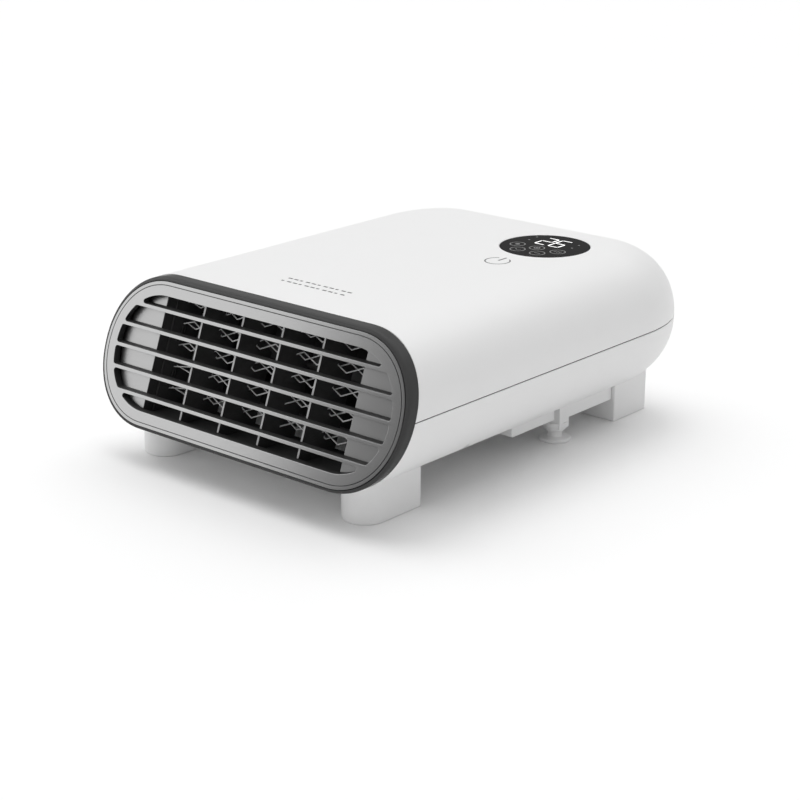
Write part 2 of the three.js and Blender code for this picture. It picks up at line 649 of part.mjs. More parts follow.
add('impeller', impeller(), BLOWER);
add('motor_shaft', shaft, STEEL, [0, AXIS_Y, MID]);
add('motor_rotor', rotor, STEEL, [MOTOR_X, AXIS_Y, MID]);
add('motor_stator', stator(), STEEL);
add('motor_coil', coil(), COPPER);
add('motor_bracket_outer', motorBracket(OUTER_BRACKET), STEEL);
add('motor_bracket_inner', motorBracket(INNER_BRACKET), STEEL);
add('motor_bearing_outer', motorBearing, BLOWER, [OUTER_BRACKET, AXIS_Y, MID]);
add('motor_bearing_inner', motorBearing, BLOWER, [INNER_BRACKET, AXIS_Y, MID]);
add('fan_side_left', sidePlate(-SIDE_PLATE - SIDE_PLATE_THICK, SIDE_HOLES.left), BLOWER);
add('fan_side_right', sidePlate(SIDE_PLATE, SIDE_HOLES.right), BLOWER);
add('end_bearing', endBearing, RUBBER, [SIDE_PLATE, AXIS_Y, MID]);
add('fan_scroll', scrollWall(), BLOWER);
add('fan_tongue', tongueWall(), BLOWER);

// ---------------------------------------------------------------- touch control
function disc(radius, thick, segments) {
  return rod(radius, 0, thick, 'z', 0, 0, 0, segments);
}

const [LENS_X, LENS_Y] = LENS;
const BUZZER_Z = CONTROL_BOARD.z - BUZZER.height - GAP;
const buzzerPlace = [LENS_X + BUZZER.offset[0], LENS_Y + BUZZER.offset[1], BUZZER_Z];
const displayBottom = DISPLAY.z - DISPLAY.size[2] / 2;
const controlBoard = disc(CONTROL_BOARD.radius, CONTROL_BOARD.thick, 32);
add('control_lens', disc(LENS_RADIUS, LENS_THICK, 48), GLASS_BLACK, [LENS_X, LENS_Y, TOP - LENS_THICK]);
addBox('display_module', DISPLAY.size, DARK, LENS_X, LENS_Y + DISPLAY.forward, displayBottom);
add('control_board', controlBoard, CIRCUIT, [...LENS, CONTROL_BOARD.z]);
add('buzzer', disc(BUZZER.radius, BUZZER.height, 16), DARK, buzzerPlace);
add('control_cover', disc(SEAT.radius, CONTROL_COVER.thick, 32), DARK, [...LENS, CONTROL_COVER.z]);

// ---------------------------------------------------------------- power electronics
const BOARD_TOP = BOARD_Z + BOARD.thick + GAP;
addBox('power_board', [BOARD.width, BOARD.depth, BOARD.thick], CIRCUIT, BOARD.x, BOARD.y, BOARD_Z);
[0, 1].forEach((place) => {
  addBox(`relay_${place + 1}`, RELAY.size, DARK, RELAY.firstX + place * RELAY.pitch, RELAY.y, BOARD_TOP);
});
addBox('power_supply', SUPPLY.size, DARK, SUPPLY.x, SUPPLY.y, BOARD_TOP);
addBox('mains_terminals', MAINS.size, CERAMIC, MAINS.x, MAINS.y, BOARD_TOP);

function cordGland() {
  const { x, z, rearY, bore, sleeve, flange, inside, overlap, lip } = GLAND;
  const pipe = tube(sleeve, bore, rearY - inside, rearY + lip / 2, 'y', x, 0, z);
  const plate = tube(flange, bore, rearY - overlap, rearY + lip, 'y', x, 0, z);
  return join(pipe, cut(plate, aroundCasing));
}

add('cord_gland', cordGland(), RUBBER);

// ---------------------------------------------------------------- feet
// keeps a front foot's top clear of the bezel and of the space in front of the casing
function inFrontOfFoot() {
  const above = block(-FAR, FAR, -FAR, FAR, MID - HALF_HEIGHT - FRONT_FOOT_CLEARANCE, FAR);
  return inFrontOfCasing.intersect(above);
}

function frontFoot(side) {
  const { halfWidth, roundY, rearY } = FRONT_FOOT;
  const plan = new THREE.Shape();
  plan.moveTo(-halfWidth, rearY);
  plan.lineTo(-halfWidth, roundY);
  plan.absarc(0, roundY, halfWidth, Math.PI, 2 * Math.PI, false);
  plan.lineTo(halfWidth, rearY);
  plan.closePath();
  const geometry = new THREE.ExtrudeGeometry(plan, { depth: MID, bevelEnabled: false, curveSegments: 12 });
  geometry.translate(side * FOOT_X, 0, 0);
  return cut(solid(geometry), inFrontOfFoot(), aroundCasing);
}

function rearFoot(side) {
  const { halfWidth, frontY, rearY } = REAR_FOOT;
  const centre = side * FOOT_X;
  return cut(block(centre - halfWidth, centre + halfWidth, frontY, rearY, 0, MID), aroundCasing);
}

[['left', -1], ['right', 1]].forEach(([label, side]) => {
  add(`front_foot_${label}`, frontFoot(side), WHITE);
  add(`rear_foot_${label}`, rearFoot(side), WHITE);
});

// ---------------------------------------------------------------- tip-over switch
function underCasing(x0, x1, y0, y1, bottom) {
  return cut(block(x0, x1, y0, y1, bottom, MID), aroundCasing);
}

function fairingFront() {
  return underCasing(FAIRING.innerX, FAIRING.edgeX, ...FRONT_RAIL, FAIRING.bottom);
}

function fairingRear() {
  const { innerX, sideX } = FAIRING;
  const { bottom } = REAR_RAIL;
  const rail = underCasing(innerX, sideX, TIP.y + REAR_RAIL.startBehindTip, REAR_FOOT.frontY - GAP, bottom);
  const cheek = underCasing(TIP.x, sideX, TIP.y - CHEEK.halfLength, TIP.y + CHEEK.halfLength, CHEEK.bottom);
  const web = underCasing(TIP.x - WEB.left, TIP.x + WEB.right, TIP.y, TIP.y + WEB.length, bottom);
  const bowl = GUIDE_BOWL.map(([radius, height]) => [radius, GUIDE.bottom + height]);
  const neck = [GUIDE.radius, bowl[bowl.length - 1][1]];
  const profile = [[0, GUIDE.bottom], ...bowl, neck, [GUIDE.radius, GUIDE.top], [0, GUIDE.top]];
  const sleeve = turned(profile, 'z', TIP.x, TIP.y, 0, 20);
  return cut(join(rail, cheek, web, sleeve), rod(GUIDE.bore, 0, MID, 'z', TIP.x, TIP.y, 0, 20));
}

function plungerProfile() {
  return [
    [0, 0], ...PLUNGER_FOOT, [STEM_RADIUS, COLLAR_BOTTOM], [COLLAR_RADIUS, COLLAR_BOTTOM],
    [COLLAR_RADIUS, COLLAR_TOP], [PIN_RADIUS, COLLAR_TOP], [PIN_RADIUS, PIN_TOP], [0, PIN_TOP],
  ];
}

function springHousing() {
  const { outer, inner, roof, wall, skirt } = HOUSING;
  const cup = rod(outer, skirt, roof + wall, 'z', TIP.x, TIP.y, 0, 20);
  const room = rod(inner, 0, roof, 'z', TIP.x, TIP.y, 0, 20);
  const pinHole = rod(PIN_RADIUS + PIN_CLEARANCE, 0, MID, 'z', TIP.x, TIP.y, 0, 10);
  return cut(cup.intersect(clearOfCasing), room, pinHole);
}

class Helix extends THREE.Curve {
  constructor(radius, height, turns) {
    super();
    Object.assign(this, { radius, height, turns });
  }

  getPoint(t, target = new THREE.Vector3()) {
    const angle = 2 * Math.PI * this.turns * t;
    return target.set(this.radius * Math.cos(angle), this.radius * Math.sin(angle), this.height * t);
  }
}

function spring() {
  const { radius, wire, turns } = SPRING;
  const section = new THREE.Shape();
  section.absarc(0, 0, wire, 0, 2 * Math.PI, false);
  const extrudePath = new Helix(radius, HOUSING.roof - COLLAR_TOP - 4 * wire, turns);
  const settings = { steps: 12 * turns, curveSegments: 3, extrudePath, bevelEnabled: false };
  return new THREE.ExtrudeGeometry(section, settings);
}

function lever() {
  const { pivotX, tail, endX, halfWidth, thick, bottom } = LEVER;
  return block(pivotX - tail, endX, TIP.y - halfWidth, TIP.y + halfWidth, bottom, bottom + thick);
}

const SWITCH_BOTTOM = LEVER.bottom + LEVER.thick + GAP;
const plunger = turned(plungerProfile(), 'z', 0, 0, 0, 24);
add('switch_fairing_front', fairingFront(), WHITE);
add('switch_fairing_rear', fairingRear(), WHITE);
add('tip_plunger', plunger, WHITE, [TIP.x, TIP.y, 0]);
add('tip_spring', spring(), STEEL, [TIP.x, TIP.y, COLLAR_TOP + 2 * SPRING.wire]);
add('tip_spring_housing', springHousing(), DARK);
add('tip_switch_lever', lever(), STEEL);
addBox('tip_microswitch', MICROSWITCH.size, DARK, MICROSWITCH.x, TIP.y, SWITCH_BOTTOM);

// ---------------------------------------------------------------- casing screws
function screw(length) {
  const { radius, face, chamfer, height } = SCREW_HEAD;
  const head = [[0, -height], [face, -height], [radius, -chamfer], [radius, -GAP], [SCREW_CORE, -GAP]];
  return turned([...head, [SCREW_CORE, length], [0, length]], 'z', 0, 0, 0, 10);
}

screwPlaces().forEach(([x, y, seat], i) => {
  add(`casing_screw_${i + 1}`, screw(SCREW_TOP - seat), STEEL, [x, y, seat]);
});

export default heater;
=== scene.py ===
"""Fan convector heater: the looks of each piece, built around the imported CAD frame.

Shapes are worked out in millimetres in the row frame and scaled to metres when a mesh is made.
"""

import math

import bmesh
import bpy
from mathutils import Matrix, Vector, noise
from mathutils.geometry import tessellate_polygon


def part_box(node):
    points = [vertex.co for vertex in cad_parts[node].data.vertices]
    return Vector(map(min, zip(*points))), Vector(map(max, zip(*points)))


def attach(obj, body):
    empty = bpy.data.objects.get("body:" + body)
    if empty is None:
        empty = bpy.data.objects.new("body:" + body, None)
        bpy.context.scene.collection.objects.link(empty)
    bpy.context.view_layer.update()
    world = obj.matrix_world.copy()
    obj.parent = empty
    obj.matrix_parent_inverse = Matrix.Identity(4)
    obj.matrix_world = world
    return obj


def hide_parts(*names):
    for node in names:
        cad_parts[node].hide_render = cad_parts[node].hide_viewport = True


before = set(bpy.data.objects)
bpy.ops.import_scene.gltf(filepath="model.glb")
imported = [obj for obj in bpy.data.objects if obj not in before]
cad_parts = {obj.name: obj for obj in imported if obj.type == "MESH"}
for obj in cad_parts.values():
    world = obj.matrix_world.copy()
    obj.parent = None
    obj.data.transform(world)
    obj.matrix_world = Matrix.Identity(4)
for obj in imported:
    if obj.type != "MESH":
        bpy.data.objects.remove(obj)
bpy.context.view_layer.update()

# ---------------------------------------------------------------- driving dimensions
MM = 0.001
LEAN = math.radians(20.4)  # how far the outlet leans back
ROUNDNESS = 2.1  # exponent of the nearly circular rounding of the outlet and the sides
GAP = 0.3  # clearance between pieces that touch
WALL = 2.5
SIDE_ROUND = 45.5  # how far the casing's sides curve in
REAR_ROUND = 32
CORNER_MID = (44, 67.5)  # rear corner across X and along Y at the middle plane
CORNER_TOP = (24.6, 29.8)
INTAKE = (66, 24)  # half width and half height of the intake opening

# outlines round the outlet: half width, half height, and how far the ends curve in across and up
FACE_ENDS = (45, 46)
BEZEL = (127.8, 48.7, 47.3, 48.3)
BEZEL_WIDTH = 2.3
BEZEL_END = 8.8
SLOTS = (116.2, 37, 36.2, 36)
SLOT_CORNER = 1.5
BAR_PITCH = 14
BAR_HEIGHT = 2.25
PLATE = (122, 43.2, 41.6, 43)
PLATE_DEPTH = 5.6
PLATE_THICK = 1.2
WINDOW = (84.5, 41)  # half width and half height of the heater plate's window
DUCT_WALL = 1.2
DUCT_END = 40
BOARD_THICK = 1.4
BOARD_END = 38
WIRE_RADIUS = 0.48
WIRE_SHIFTS = (-1, -1, -1, 5, 5)  # where each row's middle peak stands
WIRE_STEP = 12
WIRE_SWING = 2.7
WIRE_ENDS = 82
WIRE_LIFT = 0.4
SLEEVE = 4  # length of the dark sleeves on the wires' ends
WIRES = {"heating_wire_front": WIRE_SWING, "heating_wire_rear": -WIRE_SWING}
HIDDEN_BOARD_SETBACK = 8  # how far the outermost boards start behind the others

MARK_LIFT = 0.02  # how far printed marks stand off their surface
MARK_THICK = 0.03
KEY_RADIUS = 5.4
# where the keys and the lamps stand, from the middle of the lens
KEYS = {"dot": (-17, -7.5), "target": (-0.8, -7.5), "bars": (15.9, -7.1), "tick": (-8.7, -18.3),
        "dash": (7.5, -18.3)}
LAMPS = ((-18.8, 16.2), (-18.3, 6.7), (16.3, 15.9), (17.1, 7.1))


def box_mm(node):
    low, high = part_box(node)
    return low / MM, high / MM


upper_low, upper_high = box_mm("upper_casing")
lower_high = box_mm("lower_casing")[1]
face_low, face_high = box_mm("grille_face")
MID = (upper_low.z + lower_high.z) / 2
SEAM_OPEN = upper_low.z - lower_high.z  # half the width of the seam as it is seen
HALF_WIDTH = upper_high.x
HALF_HEIGHT = upper_high.z - MID
TOP = upper_high.z
REAR = upper_high.y
FACE = (face_high.x, (face_high.z - face_low.z) / 2 / math.cos(LEAN), *FACE_ENDS)
FACE_Y = face_low.y + FACE[1] * math.sin(LEAN)
CASING_FRONT = FACE_Y + BEZEL_END + GAP


# ---------------------------------------------------------------- meshes
class Skin:
    """Points and faces of one piece, built up ring by ring."""

    def __init__(self):
        self.points = []
        self.faces = []

    def ring(self, points):
        start = len(self.points)
        self.points.extend(Vector(point) for point in points)
        return list(range(start, len(self.points)))

    def bridge(self, first, second, closed=True, skip=()):
        count = len(first) if closed else len(first) - 1
        for i in range(count):
            if i in skip:
                continue
            k = (i + 1) % len(first)
            self.faces.append((first[i], first[k], second[k], second[i]))

    def chain(self, rings, closed=True):
        for first, second in zip(rings, rings[1:]):
            self.bridge(first, second, closed)

    def fill(self, *loops, flat=lambda point: point):
        """Triangles between an outer loop and the loops of its holes."""
        flattened = [[flat(self.points[i]) for i in loop] for loop in loops]
        order = [i for loop in loops for i in loop]
        for a, b, c in tessellate_polygon(flattened):
            self.faces.append((order[a], order[b], order[c]))


def smooth(obj, angle=30):
    """Outward faces, smooth apart from the edges sharper than the angle."""
    shape = bmesh.new()
    shape.from_mesh(obj.data)
    bmesh.ops.remove_doubles(shape, verts=shape.verts, dist=1e-7)
    bmesh.ops.recalc_face_normals(shape, faces=shape.faces)
    for face in shape.faces:
        face.smooth = True
    for edge in shape.edges:
        edge.smooth = edge.calc_face_angle(0) < math.radians(angle)
    shape.to_mesh(obj.data)
    shape.free()


def weigh_normals(obj):
    modifier = obj.modifiers.new("even shading", "WEIGHTED_NORMAL")
    modifier.keep_sharp = True
    modifier.weight = 80


def bare(name, skin):
    mesh = bpy.data.meshes.new(name)
    mesh.from_pydata([point * MM for point in skin.points], [], skin.faces)
    obj = bpy.data.objects.new(name, mesh)
    bpy.context.scene.collection.objects.link(obj)
    smooth(obj)
    return obj


def dress(obj, finish, stands_for=(), body="casing"):
    obj.data.materials.clear()
    obj.data.materials.append(finish)
    weigh_normals(obj)
    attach(obj, body)
    if stands_for:
        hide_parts(*stands_for)
    return obj


def piece(name, skin, finish, stands_for=(), body="casing"):
    return dress(bare(name, skin), finish, stands_for, body)


def boolean(obj, operation, cutters):
    """Joins, cuts or intersects obj with helper solids, which are then deleted."""
    for cutter in cutters:
        modifier = obj.modifiers.new("cut", "BOOLEAN")
        modifier.operation = operation
        modifier.solver = "EXACT"
        modifier.object = cutter
    evaluated = obj.evaluated_get(bpy.context.evaluated_depsgraph_get())
    made = bpy.data.meshes.new_from_object(evaluated)
    obj.modifiers.clear()
    obj.data = made
    for cutter in cutters:
        bpy.data.objects.remove(cutter)
    smooth(obj)
    return obj


def turned(profile, centre, direction="z", segments=64):
    """A solid of revolution about z or y from (radius, height) points, with closed ends."""
    skin = Skin()
    centre = Vector(centre)
    rings = []
    for radius, height in profile:
        points = []
        for i in range(segments):
            angle = 2 * math.pi * i / segments
            across, along = radius * math.cos(angle), radius * math.sin(angle)
            local = (across, along, height) if direction == "z" else (across, height, along)
            points.append(centre + Vector(local))
        rings.append(skin.ring(points))
    skin.chain(rings)
    if profile[0] == profile[-1]:
        return skin
    skin.faces.append(tuple(rings[0]))
    skin.faces.append(tuple(rings[-1]))
    return skin


def arc(centre, radius, start, end, steps):
    """Points of an arc, with angles in degrees."""
    points = []
    for i in range(steps + 1):
        angle = math.radians(start + (end - start) * i / steps)
        points.append((centre[0] + radius * math.cos(angle), centre[1] + radius * math.sin(angle)))
    return points


def prism(outline_points, levels, place):
    """A solid through copies of an outline at (offset, height) levels; place sets each point."""
    skin = Skin()
    rings = [skin.ring([place(u, v, h) for u, v in offset(outline_points, d)]) for d, h in levels]
    skin.chain(rings)
    skin.fill(rings[0])
    skin.fill(rings[-1])
    return skin


def offset(points, distance):
    """The outline moved outwards by distance; its points run counter-clockwise."""
    if not distance:
        return points
    moved = []
    for i, (u, v) in enumerate(points):
        before, after = points[i - 1], points[(i + 1) % len(points)]
        along = Vector((after[0] - before[0], after[1] - before[1])).normalized()
        moved.append((u + along.y * distance, v - along.x * distance))
    return moved


def rounded(corners, radii, steps=6):
    """A counter-clockwise convex outline whose corners are rounded by their own radii."""
    points = []
    for i, (corner, radius) in enumerate(zip(corners, radii)):
        here = Vector(corner)
        if not radius:
            points.append(tuple(here))
            continue
        into = (here - Vector(corners[i - 1])).normalized()
        out = (Vector(corners[(i + 1) % len(corners)]) - here).normalized()
        turn = into.angle(out)
        reach = radius * math.tan(turn / 2)
        start = here - into * reach
        centre = start + Vector((-into.y, into.x)) * radius
        first = math.degrees(math.atan2(start.y - centre.y, start.x - centre.x))
        points.extend(arc(centre, radius, first, first + math.degrees(turn), steps))
    return points


def box_corners(left, low, right, high):
    """A rectangle's corners, counter-clockwise."""
    return [(left, low), (right, low), (right, high), (left, high)]


def upright(u, v, height):
    return Vector((u, v, height))


def from_front(point):
    """Where a point is seen from the front, for filling a plate round its holes."""
    return Vector((point.x, point.z, 0))


def from_side(point):
    return Vector((point.y, point.z, 0))


def second_finish(obj, finish, belongs):
    """Gives another finish to the faces that belong to it."""
    obj.data.materials.append(finish)
    for polygon in obj.data.polygons:
        if belongs(polygon):
            polygon.material_index = 1


# ---------------------------------------------------------------- materials
def material(name, color, roughness, metallic=0.0, grain=0.4, bump=0.1, tint=0.02, stretch=(1, 1, 1)):
    """A finish whose colour, gloss and surface vary finely; grain is in millimetres."""
    clouds, spread = 18, 0.05
    made = bpy.data.materials.new(name)
    made.use_nodes = True
    nodes, links = made.node_tree.nodes, made.node_tree.links
    shader = nodes["Principled BSDF"]
    shader.inputs["Metallic"].default_value = metallic
    coordinates = nodes.new("ShaderNodeTexCoord")
    mapping = nodes.new("ShaderNodeMapping")
    mapping.inputs["Scale"].default_value = stretch
    links.new(coordinates.outputs["Object"], mapping.inputs["Vector"])

    def speckle(size, detail):
        texture = nodes.new("ShaderNodeTexNoise")
        texture.inputs["Scale"].default_value = 1 / (size * MM)
        texture.inputs["Detail"].default_value = detail
        links.new(mapping.outputs["Vector"], texture.inputs["Vector"])
        return texture.outputs["Fac"]

    blend = nodes.new("ShaderNodeMix")
    blend.data_type = "RGBA"
    blend.inputs["A"].default_value = (*[c * (1 - tint) for c in color], 1)
    blend.inputs["B"].default_value = (*[c * (1 + tint) for c in color], 1)
    links.new(speckle(clouds, 3), blend.inputs["Factor"])
    links.new(blend.outputs["Result"], shader.inputs["Base Color"])
    span = nodes.new("ShaderNodeMapRange")
    span.inputs["To Min"].default_value = roughness - spread
    span.inputs["To Max"].default_value = roughness + spread
    links.new(speckle(5 * grain, 4), span.inputs["Value"])
    links.new(span.outputs["Result"], shader.inputs["Roughness"])
    relief = nodes.new("ShaderNodeBump")
    relief.inputs["Strength"].default_value = bump
    relief.inputs["Distance"].default_value = grain * MM / 4
    links.new(speckle(grain, 2), relief.inputs["Height"])
    links.new(relief.outputs["Normal"], shader.inputs["Normal"])
    return made


def set_shader(finish, **values):
    shader = finish.node_tree.nodes["Principled BSDF"]
    for name, value in values.items():
        shader.inputs[name.replace("_", " ")].default_value = value


def grey(value):
    return (value, value, value)


CASING_WHITE = material("moulded white", grey(0.85), 0.4, grain=0.35, bump=0.12, tint=0.006)
BEZEL_CHARCOAL = material("glossy charcoal", grey(0.062), 0.2, grain=0.9, bump=0.03, tint=0.04)
SILVER = material("satin silver paint", grey(0.155), 0.3, metallic=1.0, grain=0.25, bump=0.16)
# black plastic of the inner grille; also laid in the silver face's groove as painted shade
GRILLE_BLACK_AND_GROOVE_SHADE = material("black grille plastic and groove shade", grey(0.016), 0.55, grain=0.5, bump=0.3, tint=0.1)
LENS_BLACK = material("black touch lens", grey(0.012), 0.22, grain=2.5, bump=0.01, tint=0.03)
PLATE_GREY = material("heater plate", grey(0.142), 0.32, metallic=1.0, grain=0.4, bump=0.15,
                      stretch=(0.2, 1, 1))
# near-black duct walls behind the plate: painted shade
DUCT_PAINTED_SHADE = material("duct inside, painted shade", grey(0.04), 0.7, grain=0.8, bump=0.3, tint=0.15)
# near-black faces of the mica boards: painted shade
MICA_PAINTED_SHADE = material("mica board, painted shade", grey(0.045), 0.6, grain=1.2, bump=0.4, tint=0.2,
                     stretch=(1, 0.3, 1))
# light front edges of the same boards: painted light
MICA_PAINTED_LIGHT = material("mica front edge, painted light", grey(0.5), 0.5, grain=0.3, bump=0.4, tint=0.06)
COLD_END = material("dark sleeve on the wires' ends", grey(0.02), 0.7, grain=0.6, bump=0.3)
NICHROME = material("resistance wire", grey(0.8), 0.45, metallic=0.15, grain=0.3, bump=0.1)
BLOWER_GREY = material("blower plastic", grey(0.035), 0.5, grain=0.6, bump=0.25, tint=0.08)
BARE_STEEL = material("bare steel", grey(0.42), 0.32, metallic=0.95, grain=0.2, bump=0.2,
                      stretch=(0.1, 1, 1))
COPPER = material("enamelled copper", (0.55, 0.22, 0.1), 0.3, metallic=0.9, grain=0.45, bump=0.8,
                  stretch=(0.05, 1, 1))
CIRCUIT = material("circuit board", (0.02, 0.1, 0.05), 0.4, grain=1.6, bump=0.3, tint=0.4)
COMPONENT = material("moulded component", grey(0.025), 0.45, grain=0.35, bump=0.3)
CERAMIC = material("ceramic", (0.75, 0.73, 0.68), 0.45, grain=0.5, bump=0.2)
# black rubber of the cord gland and bearing; the seam strip also uses it as painted shade
RUBBER_AND_SEAM_SHADE = material("black rubber and seam shade", grey(0.02), 0.75, grain=0.4, bump=0.35)
FOAM = material("filter foam", grey(0.03), 0.95, grain=1.1, bump=1.0, tint=0.5)
SCREW = material("zinc plated steel", grey(0.5), 0.28, metallic=0.95, grain=0.25, bump=0.15)
PRINT = material("grey print", grey(0.11), 0.5, grain=0.2, bump=0.1)
PANEL_MARK = material("panel marks", grey(0.2), 0.4, grain=0.2, bump=0.05)
DIGITS = material("lit digits", grey(0.9), 0.4, grain=0.2, bump=0.02)
set_shader(DIGITS, Emission_Color=(1, 1, 1, 1), Emission_Strength=0.9)
set_shader(LENS_BLACK, IOR=1.06)
set_shader(BEZEL_CHARCOAL, IOR=1.13)


# ---------------------------------------------------------------- the leaning outlet's own coordinates
def on_face(u, v, depth):
    return Vector((u, FACE_Y + depth + v * math.sin(LEAN), MID + v * math.cos(LEAN)))


def depth_of(point):
    """How far a point lies behind the silver face, along Y."""
    return point.y - FACE_Y - (point.z - MID) * math.tan(LEAN)


def outline(size, inset=0.0, steps=28):
    """The outlet's outline, flat above and below and nearly circular at both ends."""
    half_width, half_height, end_width, end_height = size
    points = []
    for quarter, (side_u, side_v) in enumerate(((1, 1), (-1, 1), (-1, -1), (1, -1))):
        for i in range(steps + 1):
            part = i / steps if quarter % 2 == 0 else 1 - i / steps
            angle = part * math.pi / 2
            across = (end_width - inset) * (max(math.cos(angle), 0) ** (2 / ROUNDNESS) - 1)
            up = (end_height - inset) * (math.sin(angle) ** (2 / ROUNDNESS) - 1)
            points.append((side_u * (half_width - inset + across), side_v * (half_height - inset + up)))
    return points


def face_rings(skin, size, profile):
    """Rings of an outline at (inset, depth) points."""
    rings = []
    for inset, depth in profile:
        rings.append(skin.ring([on_face(u, v, depth) for u, v in outline(size, inset)]))
    return rings


def half_width_at(v):
    half_width, half_height, end_width, end_height = SLOTS
    beyond = max(0.0, abs(v) - (half_height - end_height)) / end_height
    return half_width - end_width * (1 - (1 - min(1, beyond) ** ROUNDNESS) ** (1 / ROUNDNESS))


def side_corner(edge, inwards):
    """The rounded corner between a bar's edge and the slot's right end, and how high it ends."""

    def centre_at(v):
        step = 0.01
        slope = (half_width_at(v + step) - half_width_at(v - step)) / (2 * step)
        normal = Vector((-1, slope)).normalized()
        return Vector((half_width_at(v), v)) + normal * SLOT_CORNER, normal

    low, high = edge, edge + inwards * 5 * SLOT_CORNER
    for _ in range(40):
        middle = (low + high) / 2
        centre, normal = centre_at(middle)
        if (centre.y - edge) * inwards < SLOT_CORNER:
            low = middle
        else:
            high = middle
    first = math.degrees(math.atan2(-normal.y, -normal.x))
    points = arc(centre, SLOT_CORNER, -90 * inwards, first, 6)
    return points, middle


def slot_outline(low, high):
    """One slot between two bars, counter-clockwise."""
    right = []
    start, end = low, high
    if low > -SLOTS[1]:
        points, start = side_corner(low, 1)
        right.extend(points)
    upper = []
    if high < SLOTS[1]:
        points, end = side_corner(high, -1)
        upper = points[::-1]
    steps = 14
    for i in range(steps + 1):
        share = (1 - math.cos(math.pi * i / steps)) / 2
        v = start + (end - start) * share
        right.append((half_width_at(v), v))
    right.extend(upper)
    distinct = [right[0]]
    for point in right[1:]:
        if math.dist(point, distinct[-1]) > 0.02:
            distinct.append(point)
    return distinct + [(-u, v) for u, v in reversed(distinct)]


def slot_outlines():
    edges = [-SLOTS[1]]
    for bar in range(-2, 3):
        edges.extend((bar * BAR_PITCH - BAR_HEIGHT / 2, bar * BAR_PITCH + BAR_HEIGHT / 2))
    edges.append(SLOTS[1])
    return [slot_outline(low, high) for low, high in zip(edges[::2], edges[1::2])]


def slotted_plate(outer_profile, slot_profile):
    """A leaning plate with the outlet's slots.

    Its rim is given as (inset, depth) points and its slots as (offset, depth) points, front to back.
    """
    skin = Skin()
    outer = face_rings(skin, FACE, outer_profile)
    skin.chain(outer)
    fronts, backs = [], []
    for points in slot_outlines():
        rings = []
        for grow, depth in slot_profile:
            rings.append(skin.ring([on_face(u, v, depth) for u, v in offset(points, grow)]))
        skin.chain(rings)
        fronts.append(rings[0])
        backs.append(rings[-1])
    skin.fill(outer[0], *fronts, flat=from_front)
    skin.fill(outer[-1], *backs, flat=from_front)
    return skin


def silver_face():
    groove_in, groove_out, groove_depth, edge = 2.6, 2.1, 0.4, 0.06
    rim = [(groove_in + 0.05, 0), (groove_in, edge), (groove_in, groove_depth)]
    rim += [(groove_out, groove_depth), (groove_out, edge), (groove_out - 0.05, 0)]
    rim += [(0.4, 0), (0.12, 0.08), (0, 0.3), (0, 1)]
    slots = [(0.3, 0), (0.15, 0.04), (0.04, 0.15), (0, 0.3), (0, 1)]
    obj = piece("silver_grille", slotted_plate(rim, slots), SILVER, ("grille_face",))

    def groove_painted_shade(polygon):
        depth = depth_of(polygon.center / MM)
        return groove_depth - 0.01 < depth < groove_depth + 0.01 and len(polygon.vertices) == 4

    # the groove's floor gets the black finish as painted shade in the groove
    second_finish(obj, GRILLE_BLACK_AND_GROOVE_SHADE, groove_painted_shade)


def dark_grille():
    rim = [(0.3, 1.3), (0, 1.6), (0, 5)]
    slots = [(0.1, 1.02), (0, 1.12), (0, 4.6), (0.12, 4.88), (0.4, 5)]
    piece("inner_grille", slotted_plate(rim, slots), GRILLE_BLACK_AND_GROOVE_SHADE, ("grille_frame",))


def bezel():
    skin = Skin()
    front, crown, steps = 0.25, 2.35, 10
    profile = []
    for i in range(steps + 1):
        angle = math.pi / 2 * i / steps
        profile.append((BEZEL_WIDTH * (1 - math.sin(angle)), front + crown * (1 - math.cos(angle))))
    tongue_out, tongue_in, tongue_end, ledge = 3.2, 5.2, 16, 5.3
    profile += [(0, BEZEL_END - 0.3), (0.1, BEZEL_END - 0.08), (0.3, BEZEL_END)]
    profile += [(tongue_out, BEZEL_END), (tongue_out, tongue_end), (tongue_in, tongue_end)]
    profile += [(tongue_in, ledge), (BEZEL_WIDTH, ledge), (BEZEL_WIDTH, front + 0.25)]
    rings = face_rings(skin, BEZEL, profile)
    skin.chain(rings + rings[:1])
    piece("outlet_bezel", skin, BEZEL_CHARCOAL, ("front_bezel",))


# ---------------------------------------------------------------- heater
def rectangle(half_u, half_v, radius):
    corners = [(half_u, -half_v), (half_u, half_v), (-half_u, half_v), (-half_u, -half_v)]
    return rounded(corners, [radius] * 4, 4)


def heater():
    """The plate behind the slots with the duct that leads back from its window."""
    skin = Skin()
    back = PLATE_DEPTH + PLATE_THICK
    outer = face_rings(skin, PLATE, [(0.15, PLATE_DEPTH), (0, PLATE_DEPTH + 0.15), (0, back)])
    skin.chain(outer)
    window = rectangle(*WINDOW, radius=0.8)

    def loop(points, depth):
        return skin.ring([on_face(u, v, depth) for u, v in points])

    mouth = loop(offset(window, 0.2), PLATE_DEPTH)
    throat = loop(window, PLATE_DEPTH + 0.25)
    inside_end = loop(window, DUCT_END)
    outside_end = loop(offset(window, DUCT_WALL), DUCT_END)
    outside = loop(offset(window, DUCT_WALL), back)
    skin.chain([mouth, throat, inside_end, outside_end, outside])
    skin.fill(outer[0], mouth, flat=from_front)
    skin.fill(outer[-1], outside, flat=from_front)
    obj = piece("heater_plate", skin, PLATE_GREY, ("heater_frame",))
    middle = PLATE_DEPTH + PLATE_THICK / 2
    # faces behind the plate's middle get a near-black colour as painted shade inside the duct
    second_finish(obj, DUCT_PAINTED_SHADE, lambda polygon: depth_of(polygon.center / MM) > middle)


def wire_rows():
    return [(2 - i) * BAR_PITCH + WIRE_LIFT for i in range(5)]


def wire_height(swing, order, at):
    """How high the wire of a row runs at a place across the heater."""
    line = wire_line(swing, order)
    for (u0, v0), (u1, v1) in zip(line, line[1:]):
        if u0 <= at <= u1:
            return v0 + (v1 - v0) * (at - u0) / (u1 - u0)


